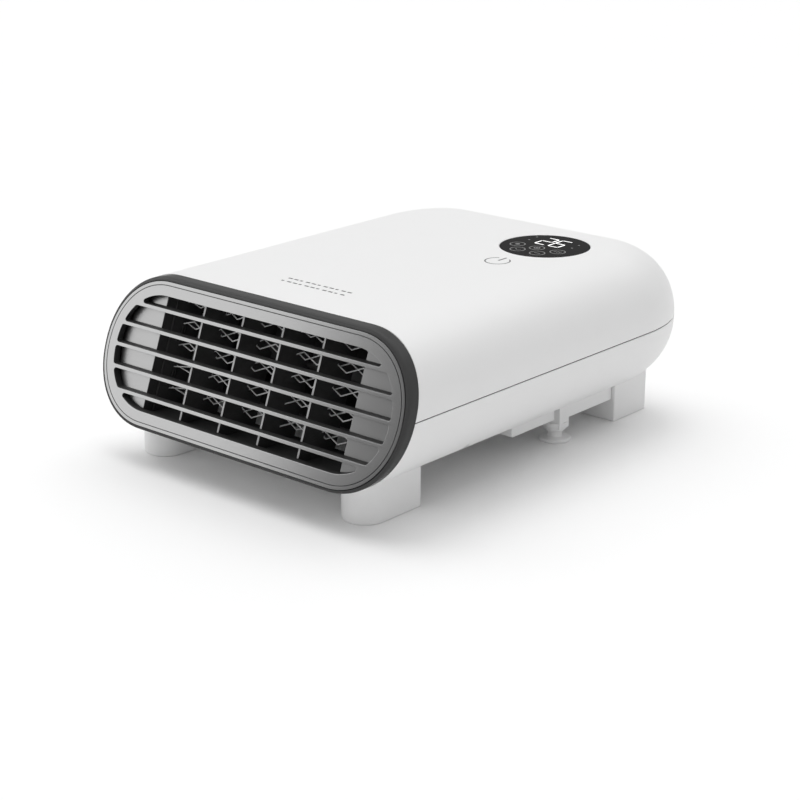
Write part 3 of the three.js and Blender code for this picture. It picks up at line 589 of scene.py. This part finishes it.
def mica_boards():
    """Upright boards with near-black faces as painted shade and lighter front edges as painted light;
    the outermost two are plain.
    """
    hole_radius = WIRE_RADIUS + 0.15
    edge = WINDOW[1] - GAP
    for i in range(1, 7):
        low, high = box_mm(f"mica_board_{i}")
        centre = (low.x + high.x) / 2
        hidden = i in (1, 6)
        front = PLATE_DEPTH + (HIDDEN_BOARD_SETBACK if hidden else 0)
        loops = [rounded(box_corners(front, -edge, BOARD_END, edge), [0.4] * 4, 3)]
        for order in () if hidden else range(len(WIRE_SHIFTS)):
            for name, swing in WIRES.items():
                v = wire_height(swing, order, centre)
                loops.append(arc((wire_depth(name), v), hole_radius, 0, 330, 11))
        skin = Skin()
        sides = []
        for u in (centre - BOARD_THICK / 2, centre + BOARD_THICK / 2):
            sides.append([skin.ring([on_face(u, v, depth) for depth, v in loop]) for loop in loops])
        for left, right in zip(*sides):
            skin.bridge(left, right)
        for side in sides:
            skin.fill(*side, flat=from_side)
        # the board's faces get a near-black colour as painted shade
        obj = piece(f"mica_sheet_{i}", skin, MICA_PAINTED_SHADE, (f"mica_board_{i}",))
        if not hidden:
            # front-facing edges get a lighter colour as painted light
            second_finish(obj, MICA_PAINTED_LIGHT, lambda polygon: polygon.normal.y < -0.7)


def wire_line(swing, order):
    """One row's zigzag from left to right."""
    row = wire_rows()[order]
    line = [(-WIRE_ENDS, row)]
    for peak in range(-6, 7):
        u = WIRE_SHIFTS[order] + peak * WIRE_STEP
        if abs(u) < WIRE_ENDS - SLEEVE:
            line.append((u, row + (swing if peak % 2 == 0 else -swing)))
    return line + [(WIRE_ENDS, row)]


def wire_path(swing):
    """A wire's middle line: zigzag along every row, turning back at the ends."""
    path = []
    for order in range(len(WIRE_SHIFTS)):
        line = wire_line(swing, order)
        path.extend(line if order % 2 == 0 else reversed(line))
    return path


def wire_depth(name):
    return depth_of(box_mm(name)[0]) + WIRE_RADIUS


def wires():
    for name, swing in WIRES.items():
        depth = wire_depth(name)
        curve = bpy.data.curves.new(name, "CURVE")
        curve.dimensions = "3D"
        curve.bevel_depth = WIRE_RADIUS * MM
        curve.bevel_resolution = 3
        curve.use_fill_caps = True
        spline = curve.splines.new("POLY")
        path = wire_path(swing)
        spline.points.add(len(path) - 1)
        for point, (u, v) in zip(spline.points, path):
            point.co = (*(on_face(u, v, depth) * MM), 1)
        obj = bpy.data.objects.new("path", curve)
        bpy.context.scene.collection.objects.link(obj)
        mesh = bpy.data.meshes.new_from_object(obj.evaluated_get(bpy.context.evaluated_depsgraph_get()))
        bpy.data.objects.remove(obj)
        solid = bpy.data.objects.new(name.replace("heating", "zigzag"), mesh)
        bpy.context.scene.collection.objects.link(solid)
        smooth(solid, 50)
        dress(solid, NICHROME, (name,))
        second_finish(solid, COLD_END, lambda polygon: abs(polygon.center.x) / MM > WIRE_ENDS - SLEEVE)


# ---------------------------------------------------------------- casings
def front_edge(z):
    return CASING_FRONT + (z - MID) * math.tan(LEAN)


def level_at(height, inset=0.0):
    """The angle round the casing's side at which its surface is that high above the middle plane."""
    return math.asin(min(1.0, height / (HALF_HEIGHT - inset)) ** (ROUNDNESS / 2))


def pull_at(angle):
    """How much of the side's rounding is used up at a level, from 0 at the middle to 1 at the top."""
    return 1 - max(math.cos(angle), 0) ** (2 / ROUNDNESS)


def casing_ring(angle, inset, side):
    """One level of the casing, from the front edge on the right round the back to the left."""
    pull = pull_at(angle)
    rise = math.sin(angle) ** (2 / ROUNDNESS)
    half_width = HALF_WIDTH - inset - (SIDE_ROUND - inset) * pull
    rear = REAR - inset - (REAR_ROUND - inset) * pull
    corner_x = CORNER_MID[0] + (CORNER_TOP[0] - CORNER_MID[0]) * pull - inset
    corner_y = CORNER_MID[1] + (CORNER_TOP[1] - CORNER_MID[1]) * pull - inset
    z = MID + side * (HALF_HEIGHT - inset) * rise
    right = [(half_width, front_edge(z), z)]
    steps = 24
    for i in range(steps + 1):
        turn = math.pi / 2 * i / steps
        x = half_width - corner_x * (1 - math.cos(turn))
        y = rear - corner_y * (1 - math.sin(turn))
        right.append((x, y, z))
    right.append((min(INTAKE[0], right[-1][0]), rear, z))
    return right + [(-x, y, z) for x, y, z in reversed(right)]


def casing_levels(inset):
    window = level_at(INTAKE[1], inset)
    first = level_at(SEAM_OPEN, inset)
    below, above = 14, 26
    angles = [first + (window - first) * i / below for i in range(below)]
    angles += [window + (math.pi / 2 - window) * i / above for i in range(above + 1)]
    return angles, below


def casing_skin(side, lens=None):
    """Half of the casing as a shell with its intake opening and, on top, the touch panel's pocket."""
    skin = Skin()
    outer_angles, window = casing_levels(0)
    inner_angles, _ = casing_levels(WALL)
    seam = [(0.25, 0), (0.1, 0.06), (0.02, 0.15)]
    outer = []
    for inset, rise in seam:
        outer.append(skin.ring(casing_ring(level_at(SEAM_OPEN + rise), inset, side)))
    outer_angles[0] = level_at(SEAM_OPEN + 0.3)
    outer += [skin.ring(casing_ring(angle, 0, side)) for angle in outer_angles]
    inner = [skin.ring(casing_ring(angle, WALL, side)) for angle in inner_angles]
    window_outer = window + len(seam)
    last = len(outer[0]) - 1
    opening = last // 2
    for rings, top in ((outer, window_outer), (inner, window)):
        for i, (low, high) in enumerate(zip(rings, rings[1:])):
            skin.bridge(low, high, closed=False, skip=(opening,) if i < top else ())
    skin.bridge(outer[0], inner[0], closed=False, skip=(opening,))
    for end in (0, last, opening, opening + 1):
        at_window = end in (opening, opening + 1)
        outside = [ring[end] for ring in (outer[: window_outer + 1] if at_window else outer)]
        inside = [ring[end] for ring in (inner[: window + 1] if at_window else inner)]
        join_strips(skin, outside, inside)
    sill = [outer[window_outer][opening], outer[window_outer][opening + 1]]
    skin.bridge(sill, [inner[window][opening], inner[window][opening + 1]], closed=False)
    skin.faces.append((outer[-1][0], outer[-1][last], inner[-1][last], inner[-1][0]))
    close_top(skin, outer[-1], inner[-1], lens)
    return skin


def join_strips(skin, outside, inside):
    """Faces between two open lines, the outside one with as many points or more."""
    extra = len(outside) - len(inside)
    for k in range(extra):
        skin.faces.append((outside[k], outside[k + 1], inside[0]))
    skin.bridge(outside[extra:], inside, closed=False)


def circle(skin, centre, radius, z, segments=96):
    points = []
    for i in range(segments):
        angle = 2 * math.pi * i / segments
        points.append((centre.x + radius * math.cos(angle), centre.y + radius * math.sin(angle), z))
    return skin.ring(points)


def close_top(skin, outer, inner, lens):
    """The flat top or bottom, with a round stepped pocket if a lens box is given."""
    if lens is None:
        skin.faces.append(tuple(outer))
        skin.faces.append(tuple(inner))
        return
    low, high = lens
    centre = (low + high) / 2
    radius = (high.x - low.x) / 2 + GAP
    floor = low.z - GAP
    bore = radius - 2.8
    steps = [(radius + 0.35, TOP), (radius + 0.14, TOP - 0.06), (radius + 0.03, TOP - 0.2)]
    steps += [(radius, TOP - 0.4), (radius, floor), (bore, floor), (bore, TOP - WALL)]
    rings = [circle(skin, centre, r, z) for r, z in steps]
    skin.chain(rings)
    skin.fill(outer, rings[0])
    skin.fill(inner, rings[-1])


def seam_shade_strip():
    """A dark strip between the shells, just inside the seam, that stands for the shade in the seam's
    gap: painted shade.
    """
    skin = Skin()
    half = SEAM_OPEN - 0.02
    rings = []
    for inset, side in ((0.5, -1), (0.5, 1), (WALL - 0.1, 1), (WALL - 0.1, -1)):
        rings.append(skin.ring(casing_ring(level_at(half, inset), inset, side)))
    opening = (len(rings[0]) - 1) // 2
    for first, second in zip(rings, rings[1:] + rings[:1]):
        skin.bridge(first, second, closed=False, skip=(opening,))
    for end in (0, opening, opening + 1, len(rings[0]) - 1):
        skin.faces.append(tuple(ring[end] for ring in rings))
    # the strip gets the black rubber finish as painted shade where the shells meet
    piece("seam_shade_strip", skin, RUBBER_AND_SEAM_SHADE)


def solid_casing(inset):
    """The whole casing as one plain solid, for trimming what meets it."""
    skin = Skin()
    rings = []
    steps = 36
    for i in range(-steps, steps + 1):
        angle = abs(i) / steps * math.pi / 2
        rings.append(skin.ring(casing_ring(angle, inset, 1 if i >= 0 else -1)))
    skin.chain(rings)
    skin.faces.append(tuple(rings[0]))
    skin.faces.append(tuple(rings[-1]))
    return bare("cutter", skin)


def screw_places():
    """Each casing screw's middle and the height of its head."""
    places = []
    for i in range(1, 5):
        low, high = box_mm(f"casing_screw_{i}")
        places.append(((low + high) / 2, low.z))
    return places


def casings():
    lens = box_mm("control_lens")
    piece("top_shell", casing_skin(1, lens), CASING_WHITE, ("upper_casing",))
    seam_shade_strip()
    shell = bare("bottom_shell", casing_skin(-1))
    cutters = []
    wells = []
    below = 10  # under the shell's lowest face
    well_bore, well_outside, well_end, shank, tip_hole = 3.6, 4.6, 15, 2.2, 7.8
    for centre, head in screw_places():
        seat, back = head + 2.2, head + 4
        place = (centre.x, centre.y, 0)
        cutters.append(bare("cutter", turned([(well_bore, below), (well_bore, seat)], place)))
        cup = [(well_outside, well_end), (well_outside, back), (shank, back), (shank, seat)]
        cup += [(well_bore, seat), (well_bore, well_end), (well_outside, well_end)]
        wells.append(turned(cup, place))
    tip_low, tip_high = box_mm("tip_plunger")
    tip = (tip_low + tip_high) / 2
    cutters.append(bare("cutter", turned([(tip_hole, below), (tip_hole, 40)], (tip.x, tip.y, 0))))
    panel_low, panel_high = box_mm("cord_panel")
    left, right, bottom = panel_low.x - GAP, panel_high.x + GAP, panel_low.z - GAP
    plan = box_corners(left, panel_low.y - 5, right, panel_high.y + 5)
    cutters.append(bare("cutter", prism(plan, [(0, bottom), (0, MID + 1)], upright)))
    boolean(shell, "DIFFERENCE", cutters)
    dress(shell, CASING_WHITE, ("lower_casing",))
    for i, well in enumerate(wells, 1):
        cup = boolean(bare(f"screw_well_{i}", well), "INTERSECT", [solid_casing(0.6)])
        dress(cup, CASING_WHITE)


# ---------------------------------------------------------------- touch control
def flat_marks(name, loops, z, finish):
    """Thin closed marks on a level surface; each entry is an outline and the holes in it, if any."""
    skin = Skin()
    low_z = z + MARK_LIFT
    high_z = low_z + MARK_THICK
    for mark in loops:
        low = [skin.ring([(x, y, low_z) for x, y in loop]) for loop in mark]
        high = [skin.ring([(x, y, high_z) for x, y in loop]) for loop in mark]
        for bottom, top in zip(low, high):
            skin.bridge(bottom, top)
        skin.fill(*low)
        skin.fill(*high)
    piece(name, skin, finish)


def stroke(start, end, width, taper=0.0):
    """A straight mark with pointed or square ends."""
    a, b = Vector(start), Vector(end)
    along = (b - a).normalized()
    across = Vector((-along.y, along.x)) * width / 2
    points = [a - across, b - across, b + along * taper, b + across, a + across, a - along * taper]
    if not taper:
        points = [points[0], points[1], points[3], points[4]]
    return ([tuple(p) for p in points],)


def ring_mark(x, y, radius, width, segments=48):
    return (arc((x, y), radius, 0, 360 - 360 / segments, segments - 1),
            arc((x, y), radius - width, 0, 360 - 360 / segments, segments - 1))


def dot_mark(x, y, radius):
    return (arc((x, y), radius, 0, 345, 23),)


def power_sign(x, y, radius):
    """The usual open ring with a stroke in its gap."""
    ring_width, stroke_width = 0.9, 1.3
    outside = arc((x, y), radius, 120, 420, 60)
    inside = arc((x, y), radius - ring_width, 420, 120, 60)
    return [(outside + inside,), stroke((x, y + radius * 0.1), (x, y + radius * 1.1), stroke_width)]


def dash_rows():
    """Two rows of plain dashes."""
    left_end, pitch, count, width = -26, 5, 11, 1.5
    marks = []
    for row, v in enumerate((FACE_Y + 59.5, FACE_Y + 66)):
        for place in range(count):
            left = left_end + pitch * place
            length = 3.4 if (place + row) % 3 else 2.2
            marks.append(stroke((left, v), (left + length, v), width))
    return marks


SEGMENTS = {"2": "abged", "6": "afgedc"}


def digit(character, left, bottom, width, height):
    """A seven-segment figure with separate bars."""
    right, middle, top = left + width, bottom + height / 2, bottom + height
    room, bar_width = 0.7, 0.95
    bars = {
        "a": ((left, top), (right, top)), "g": ((left, middle), (right, middle)),
        "d": ((left, bottom), (right, bottom)), "f": ((left, middle), (left, top)),
        "b": ((right, middle), (right, top)), "e": ((left, bottom), (left, middle)),
        "c": ((right, bottom), (right, middle)),
    }
    marks = []
    for name in SEGMENTS[character]:
        start, end = Vector(bars[name][0]), Vector(bars[name][1])
        along = (end - start).normalized() * room
        marks.append(stroke(start + along * 1.1, end - along * 1.1, bar_width, taper=room))
    return marks


def key_marks(x, y):
    """A ring round each key with a plain mark inside, and small lamps beside the display."""
    at = {name: (x + u, y + v) for name, (u, v) in KEYS.items()}
    marks = [ring_mark(*place, KEY_RADIUS, 0.75) for place in at.values()]
    marks.append(dot_mark(*at["dot"], 1.7))
    marks += [ring_mark(*at["target"], 2.3, 0.8), dot_mark(*at["target"], 0.8)]
    u, v = at["bars"]
    marks += [stroke((u + k, v - 1.8), (u + k, v + 1.8), 0.6) for k in (-2, 0, 2)]
    u, v = at["tick"]
    marks.append(stroke((u - 2.2, v + 0.9), (u, v - 1.2), 0.6))
    marks.append(stroke((u + 0.2, v - 1.2), (u + 2.2, v + 0.9), 0.6))
    u, v = at["dash"]
    marks.append(stroke((u - 2.4, v), (u + 2.4, v), 0.7))
    return marks + [dot_mark(x + u, y + v, 0.8) for u, v in LAMPS]


def touch_control():
    low, high = box_mm("control_lens")
    centre = (low + high) / 2
    x, y = centre.x, centre.y
    radius = (high.x - low.x) / 2
    edge = [(radius - 0.6, low.z), (radius, low.z + 0.4), (radius, high.z - 0.35)]
    edge += [(radius - 0.1, high.z - 0.1), (radius - 0.35, high.z)]
    disc = turned(edge, (x, y, 0), segments=128)
    piece("touch_lens", disc, LENS_BLACK, ("control_lens",))
    figure_width, figure_height = 8, 17
    figures = digit("2", x - 10.2, y + 2.2, figure_width, figure_height)
    figures += digit("6", x + 0.8, y + 2.2, figure_width, figure_height)
    flat_marks("display_digits", figures, high.z, DIGITS)
    flat_marks("panel_marks", key_marks(x, y), high.z, PANEL_MARK)
    flat_marks("power_sign", power_sign(x + 0.3, y - 51, 8.6), TOP, PRINT)
    flat_marks("dash_print", dash_rows(), TOP, PRINT)


# ---------------------------------------------------------------- rear
def rear_surface(z, inset=0.0):
    """How far back the casing's rear stands at a height."""
    pull = pull_at(level_at(abs(z - MID), inset))
    return REAR - inset - (REAR_ROUND - inset) * pull


def rear_grille():
    low, high = box_mm("rear_grille")
    half_width, half_height = high.x, (high.z - low.z) / 2
    skin = Skin()
    border = box_corners(-half_width, -half_height, half_width, half_height)
    outlines = [rounded(border, [1.2] * 4, 4)]
    columns, rows, slot_half, rib = 4, 7, 1.8, 3
    pitch = (2 * INTAKE[1] - 6) / rows
    width = (2 * INTAKE[0] - 8) / columns
    for column in range(columns):
        left = -INTAKE[0] + 4 + column * width + rib / 2
        right = left + width - rib
        for row in range(-(rows // 2), rows // 2 + 1):
            v = row * pitch
            slot = box_corners(left, v - slot_half, right, v + slot_half)
            outlines.append(rounded(slot, [1.7] * 4, 5))
    outlines = [subdivided(points, 2.0) for points in outlines]
    levels = []
    for grow, inset in ((0.3, 0.0), (0.1, 0.1), (0.0, 0.35), (0.0, WALL)):
        rings = []
        for i, points in enumerate(outlines):
            moved = offset(points, -grow if i == 0 else grow)
            place = [(u, rear_surface(MID + v, inset) - 0.02, MID + v) for u, v in moved]
            rings.append(skin.ring(place))
        levels.append(rings)
    for first, second in zip(levels, levels[1:]):
        for a, b in zip(first, second):
            skin.bridge(a, b)
    for rings in (levels[0], levels[-1]):
        skin.fill(*rings, flat=from_front)
    piece("intake_grille", skin, CASING_WHITE, ("rear_grille",))


def foam_height(u, v, seed):
    """Small hollows of open foam, in millimetres below the sheet's face."""
    place = Vector((u * 0.9, v * 0.9, seed))
    return 0.25 * max(0.0, noise.noise(place)) + 0.1 * max(0.0, noise.noise(place * 2.3))


def filter_sheet():
    """A crowned sheet of open foam with soft edges and shallow pores on both faces."""
    low, high = box_mm("dust_filter")
    centre, half = (low + high) / 2, (high - low) / 2
    across, up = 96, 34
    skin = Skin()
    sheets = []
    for side in (-1, 1):
        rows = []
        for j in range(up + 1):
            row = []
            for i in range(across + 1):
                u, v = 2 * i / across - 1, 2 * j / up - 1
                x, z = u * (half.x - 0.3), v * (half.z - 0.3)
                edge = min(half.x - 0.3 - abs(x), half.z - 0.3 - abs(z))
                crown = 1 - 0.12 * (u * u + v * v) - 0.35 * math.exp(-edge / 0.8)
                depth = (half.y - 0.05) * crown - foam_height(x, z, side * 7.3)
                row.append((centre.x + x, centre.y + side * depth, centre.z + z))
            rows.append(skin.ring(row))
        sheets.append(rows)
    for rows in sheets:
        for a, b in zip(rows, rows[1:]):
            skin.bridge(a, b, closed=False)
    front, back = sheets
    for rows in (0, up):
        skin.bridge(front[rows], back[rows], closed=False)
    for end in (0, across):
        skin.bridge([row[end] for row in front], [row[end] for row in back], closed=False)
    obj = piece("filter_foam", skin, FOAM, ("dust_filter",))


def subdivided(points, longest):
    """The same outline with no upright stretch longer than the given length."""
    fine = []
    for i, (u, v) in enumerate(points):
        next_u, next_v = points[(i + 1) % len(points)]
        count = max(1, math.ceil(abs(next_v - v) / longest))
        for k in range(count):
            share = k / count
            fine.append((u + (next_u - u) * share, v + (next_v - v) * share))
    return fine


def cord_gland():
    low, high = box_mm("cord_gland")
    centre = (low + high) / 2
    end = high.y
    flange, sleeve, bore = (high.x - low.x) / 2, 7, 4.5
    back = end - 2.6
    profile = [(bore, low.y), (sleeve, low.y), (sleeve, back), (flange - 0.2, back)]
    profile += [(flange, end - 2.2), (flange, end - 1), (flange - 0.4, end - 0.3), (flange - 1, end)]
    profile += [(bore + 0.9, end), (bore + 0.3, end - 0.3), (bore, end - 1), (bore, low.y)]
    gland = bare("cord_bush", turned(profile, (centre.x, 0, centre.z), "y"))
    dress(gland, RUBBER_AND_SEAM_SHADE, ("cord_gland",))


# ---------------------------------------------------------------- feet and tip-over switch
def foot_levels(top, round_edge=0.9, steps=4):
    """Levels of a foot with a rounded lower edge."""
    levels = []
    for i in range(steps + 1):
        angle = math.pi / 2 * i / steps
        levels.append((-round_edge * (1 - math.sin(angle)), round_edge * (1 - math.cos(angle))))
    return levels + [(0, top)]


def foot(name, plan, top, node):
    """One foot, cut off where it meets the casing."""
    obj = bare(name, prism(plan, foot_levels(top), upright))
    boolean(obj, "DIFFERENCE", [solid_casing(-GAP)])
    dress(obj, CASING_WHITE, (node,))


def feet():
    for side in ("left", "right"):
        low, high = box_mm(f"front_foot_{side}")
        half = (high.x - low.x) / 2
        middle = (high.x + low.x) / 2
        nose = arc((middle, low.y + half), half, 180, 360, 32)
        corners = [(high.x, low.y), (high.x, high.y), (low.x, high.y), (low.x, low.y)]
        back = rounded(corners, [0, 1.2, 1.2, 0])
        foot(f"round_foot_{side}", nose + back[1:-1], high.z, f"front_foot_{side}")
        low, high = box_mm(f"rear_foot_{side}")
        plan = rounded(box_corners(low.x, low.y, high.x, high.y), [1, 1, 1.6, 1.6])
        foot(f"square_foot_{side}", plan, high.z, f"rear_foot_{side}")


def plunger():
    low, high = box_mm("tip_plunger")
    centre = (low + high) / 2
    rim = (high.x - low.x) / 2
    stem, collar, collar_low, pin = 4.9, 7.2, 34.8, 1.6
    collar_high = collar_low + 2
    profile = [(rim - 0.8, 0), (rim - 0.3, 0.15), (rim, 0.6), (rim, 1.5)]
    profile += [(rim - 0.2, 2.0), (rim - 0.7, 2.35), (stem + 0.7, 2.6), (stem + 0.2, 2.9)]
    profile += [(stem, 3.6), (stem, collar_low), (collar, collar_low)]
    profile += [(collar, collar_high), (pin, collar_high), (pin, high.z)]
    solid = turned(profile, (centre.x, centre.y, 0))
    piece("tip_foot", solid, CASING_WHITE, ("tip_plunger",), "plunger")


# ---------------------------------------------------------------- carried-over CAD nodes
CARRIED = {
    CASING_WHITE: ("switch_fairing_front", "switch_fairing_rear", "cord_panel"),
    CERAMIC: ("heater_terminals", "mains_terminals"),
    BLOWER_GREY: ("impeller", "motor_bearing_outer", "motor_bearing_inner", "fan_side_left",
                  "fan_side_right", "fan_scroll", "fan_tongue"),
    BARE_STEEL: ("motor_shaft", "motor_rotor", "motor_stator", "motor_bracket_outer",
                 "motor_bracket_inner", "tip_spring", "tip_switch_lever"),
    COPPER: ("motor_coil",),
    RUBBER_AND_SEAM_SHADE: ("end_bearing",),
    CIRCUIT: ("control_board", "power_board"),
    COMPONENT: ("thermal_cutout", "thermal_fuse", "display_module", "buzzer", "control_cover",
                "relay_1", "relay_2", "power_supply", "tip_microswitch", "tip_spring_housing"),
    SCREW: ("casing_screw_1", "casing_screw_2", "casing_screw_3", "casing_screw_4"),
}
BEVEL = 0.25
OTHER_BEVELS = {"switch_fairing_front": 0.7, "switch_fairing_rear": 0.5, "tip_spring": 0, "impeller": 0}


def carry_over():
    for finish, nodes in CARRIED.items():
        for node in nodes:
            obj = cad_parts[node]
            obj.data.materials.clear()
            obj.data.materials.append(finish)
            weld = obj.modifiers.new("weld", "WELD")
            weld.merge_threshold = 1e-6
            width = OTHER_BEVELS.get(node, BEVEL)
            if width:
                bevel = obj.modifiers.new("edges", "BEVEL")
                bevel.width = width * MM
                bevel.segments = 3
                bevel.limit_method = "ANGLE"
                bevel.angle_limit = math.radians(40)
            weigh_normals(obj)


# ---------------------------------------------------------------- camera, floor and light
CAMERA_PLACE = (0.78135, -0.8986, 0.4267)
CAMERA_AZIMUTH = math.radians(41.17)
CAMERA_ELEVATION = math.radians(18.93)
CAMERA_LENS = 85.42


def camera():
    data = bpy.data.cameras.new("camera")
    data.lens = CAMERA_LENS
    data.sensor_width = 36
    obj = bpy.data.objects.new("camera", data)
    obj.location = CAMERA_PLACE
    obj.rotation_euler = (math.pi / 2 - CAMERA_ELEVATION, 0, CAMERA_AZIMUTH)
    bpy.context.scene.collection.objects.link(obj)
    bpy.context.scene.camera = obj


def floor():
    reach = 6000
    skin = Skin()
    corners = skin.ring([upright(u, v, 0) for u, v in box_corners(-reach, -reach, reach, reach)])
    skin.faces.append(tuple(corners))
    obj = bare("floor", skin)
    obj.data.materials.append(material("pale floor", grey(0.95), 0.75, grain=2, bump=0.02, tint=0.002))


def soft_sun(name, direction, angle, energy):
    """A sun seen in the given direction, the given number of degrees across."""
    data = bpy.data.lights.new(name, "SUN")
    data.angle = math.radians(angle)
    data.energy = energy
    obj = bpy.data.objects.new(name, data)
    obj.rotation_euler = Vector(direction).to_track_quat("Z", "Y").to_euler()
    bpy.context.scene.collection.objects.link(obj)


def panel(name, place, target, size, radiance):
    """A light panel that is only seen as a reflection in glossy surfaces."""
    data = bpy.data.lights.new(name, "AREA")
    data.shape = "RECTANGLE"
    data.size, data.size_y = size
    data.energy = radiance * math.pi * size[0] * size[1]
    obj = bpy.data.objects.new(name, data)
    obj.location = place
    obj.rotation_euler = (Vector(target) - Vector(place)).to_track_quat("-Z", "Y").to_euler()
    obj.visible_diffuse = False
    obj.visible_camera = False
    bpy.context.scene.collection.objects.link(obj)


WORLD_STRENGTH = 0.48


def studio():
    scene = bpy.context.scene
    scene.view_settings.view_transform = "Standard"
    world = bpy.data.worlds.new("studio")
    world.use_nodes = True
    background = world.node_tree.nodes["Background"]
    background.inputs["Color"].default_value = (1, 1, 1, 1)
    background.inputs["Strength"].default_value = WORLD_STRENGTH
    scene.world = world
    soft_sun("left", (-0.4924, 0.0868, 0.866), 60, 1.05)
    soft_sun("rear", (0, 0.35, 0.94), 60, 0.95)
    soft_sun("front", (-0.2802, -0.7698, 0.5736), 40, 0.1)
    panel("left panel", (-0.40, -0.262, 0.24), (-0.30, -0.02, 0.18), (0.545, 0.48), 3.15)


# ---------------------------------------------------------------- assembly
camera()
casings()
bezel()
silver_face()
dark_grille()
heater()
mica_boards()
wires()
touch_control()
rear_grille()
filter_sheet()
cord_gland()
feet()
plunger()
carry_over()
floor()
studio()
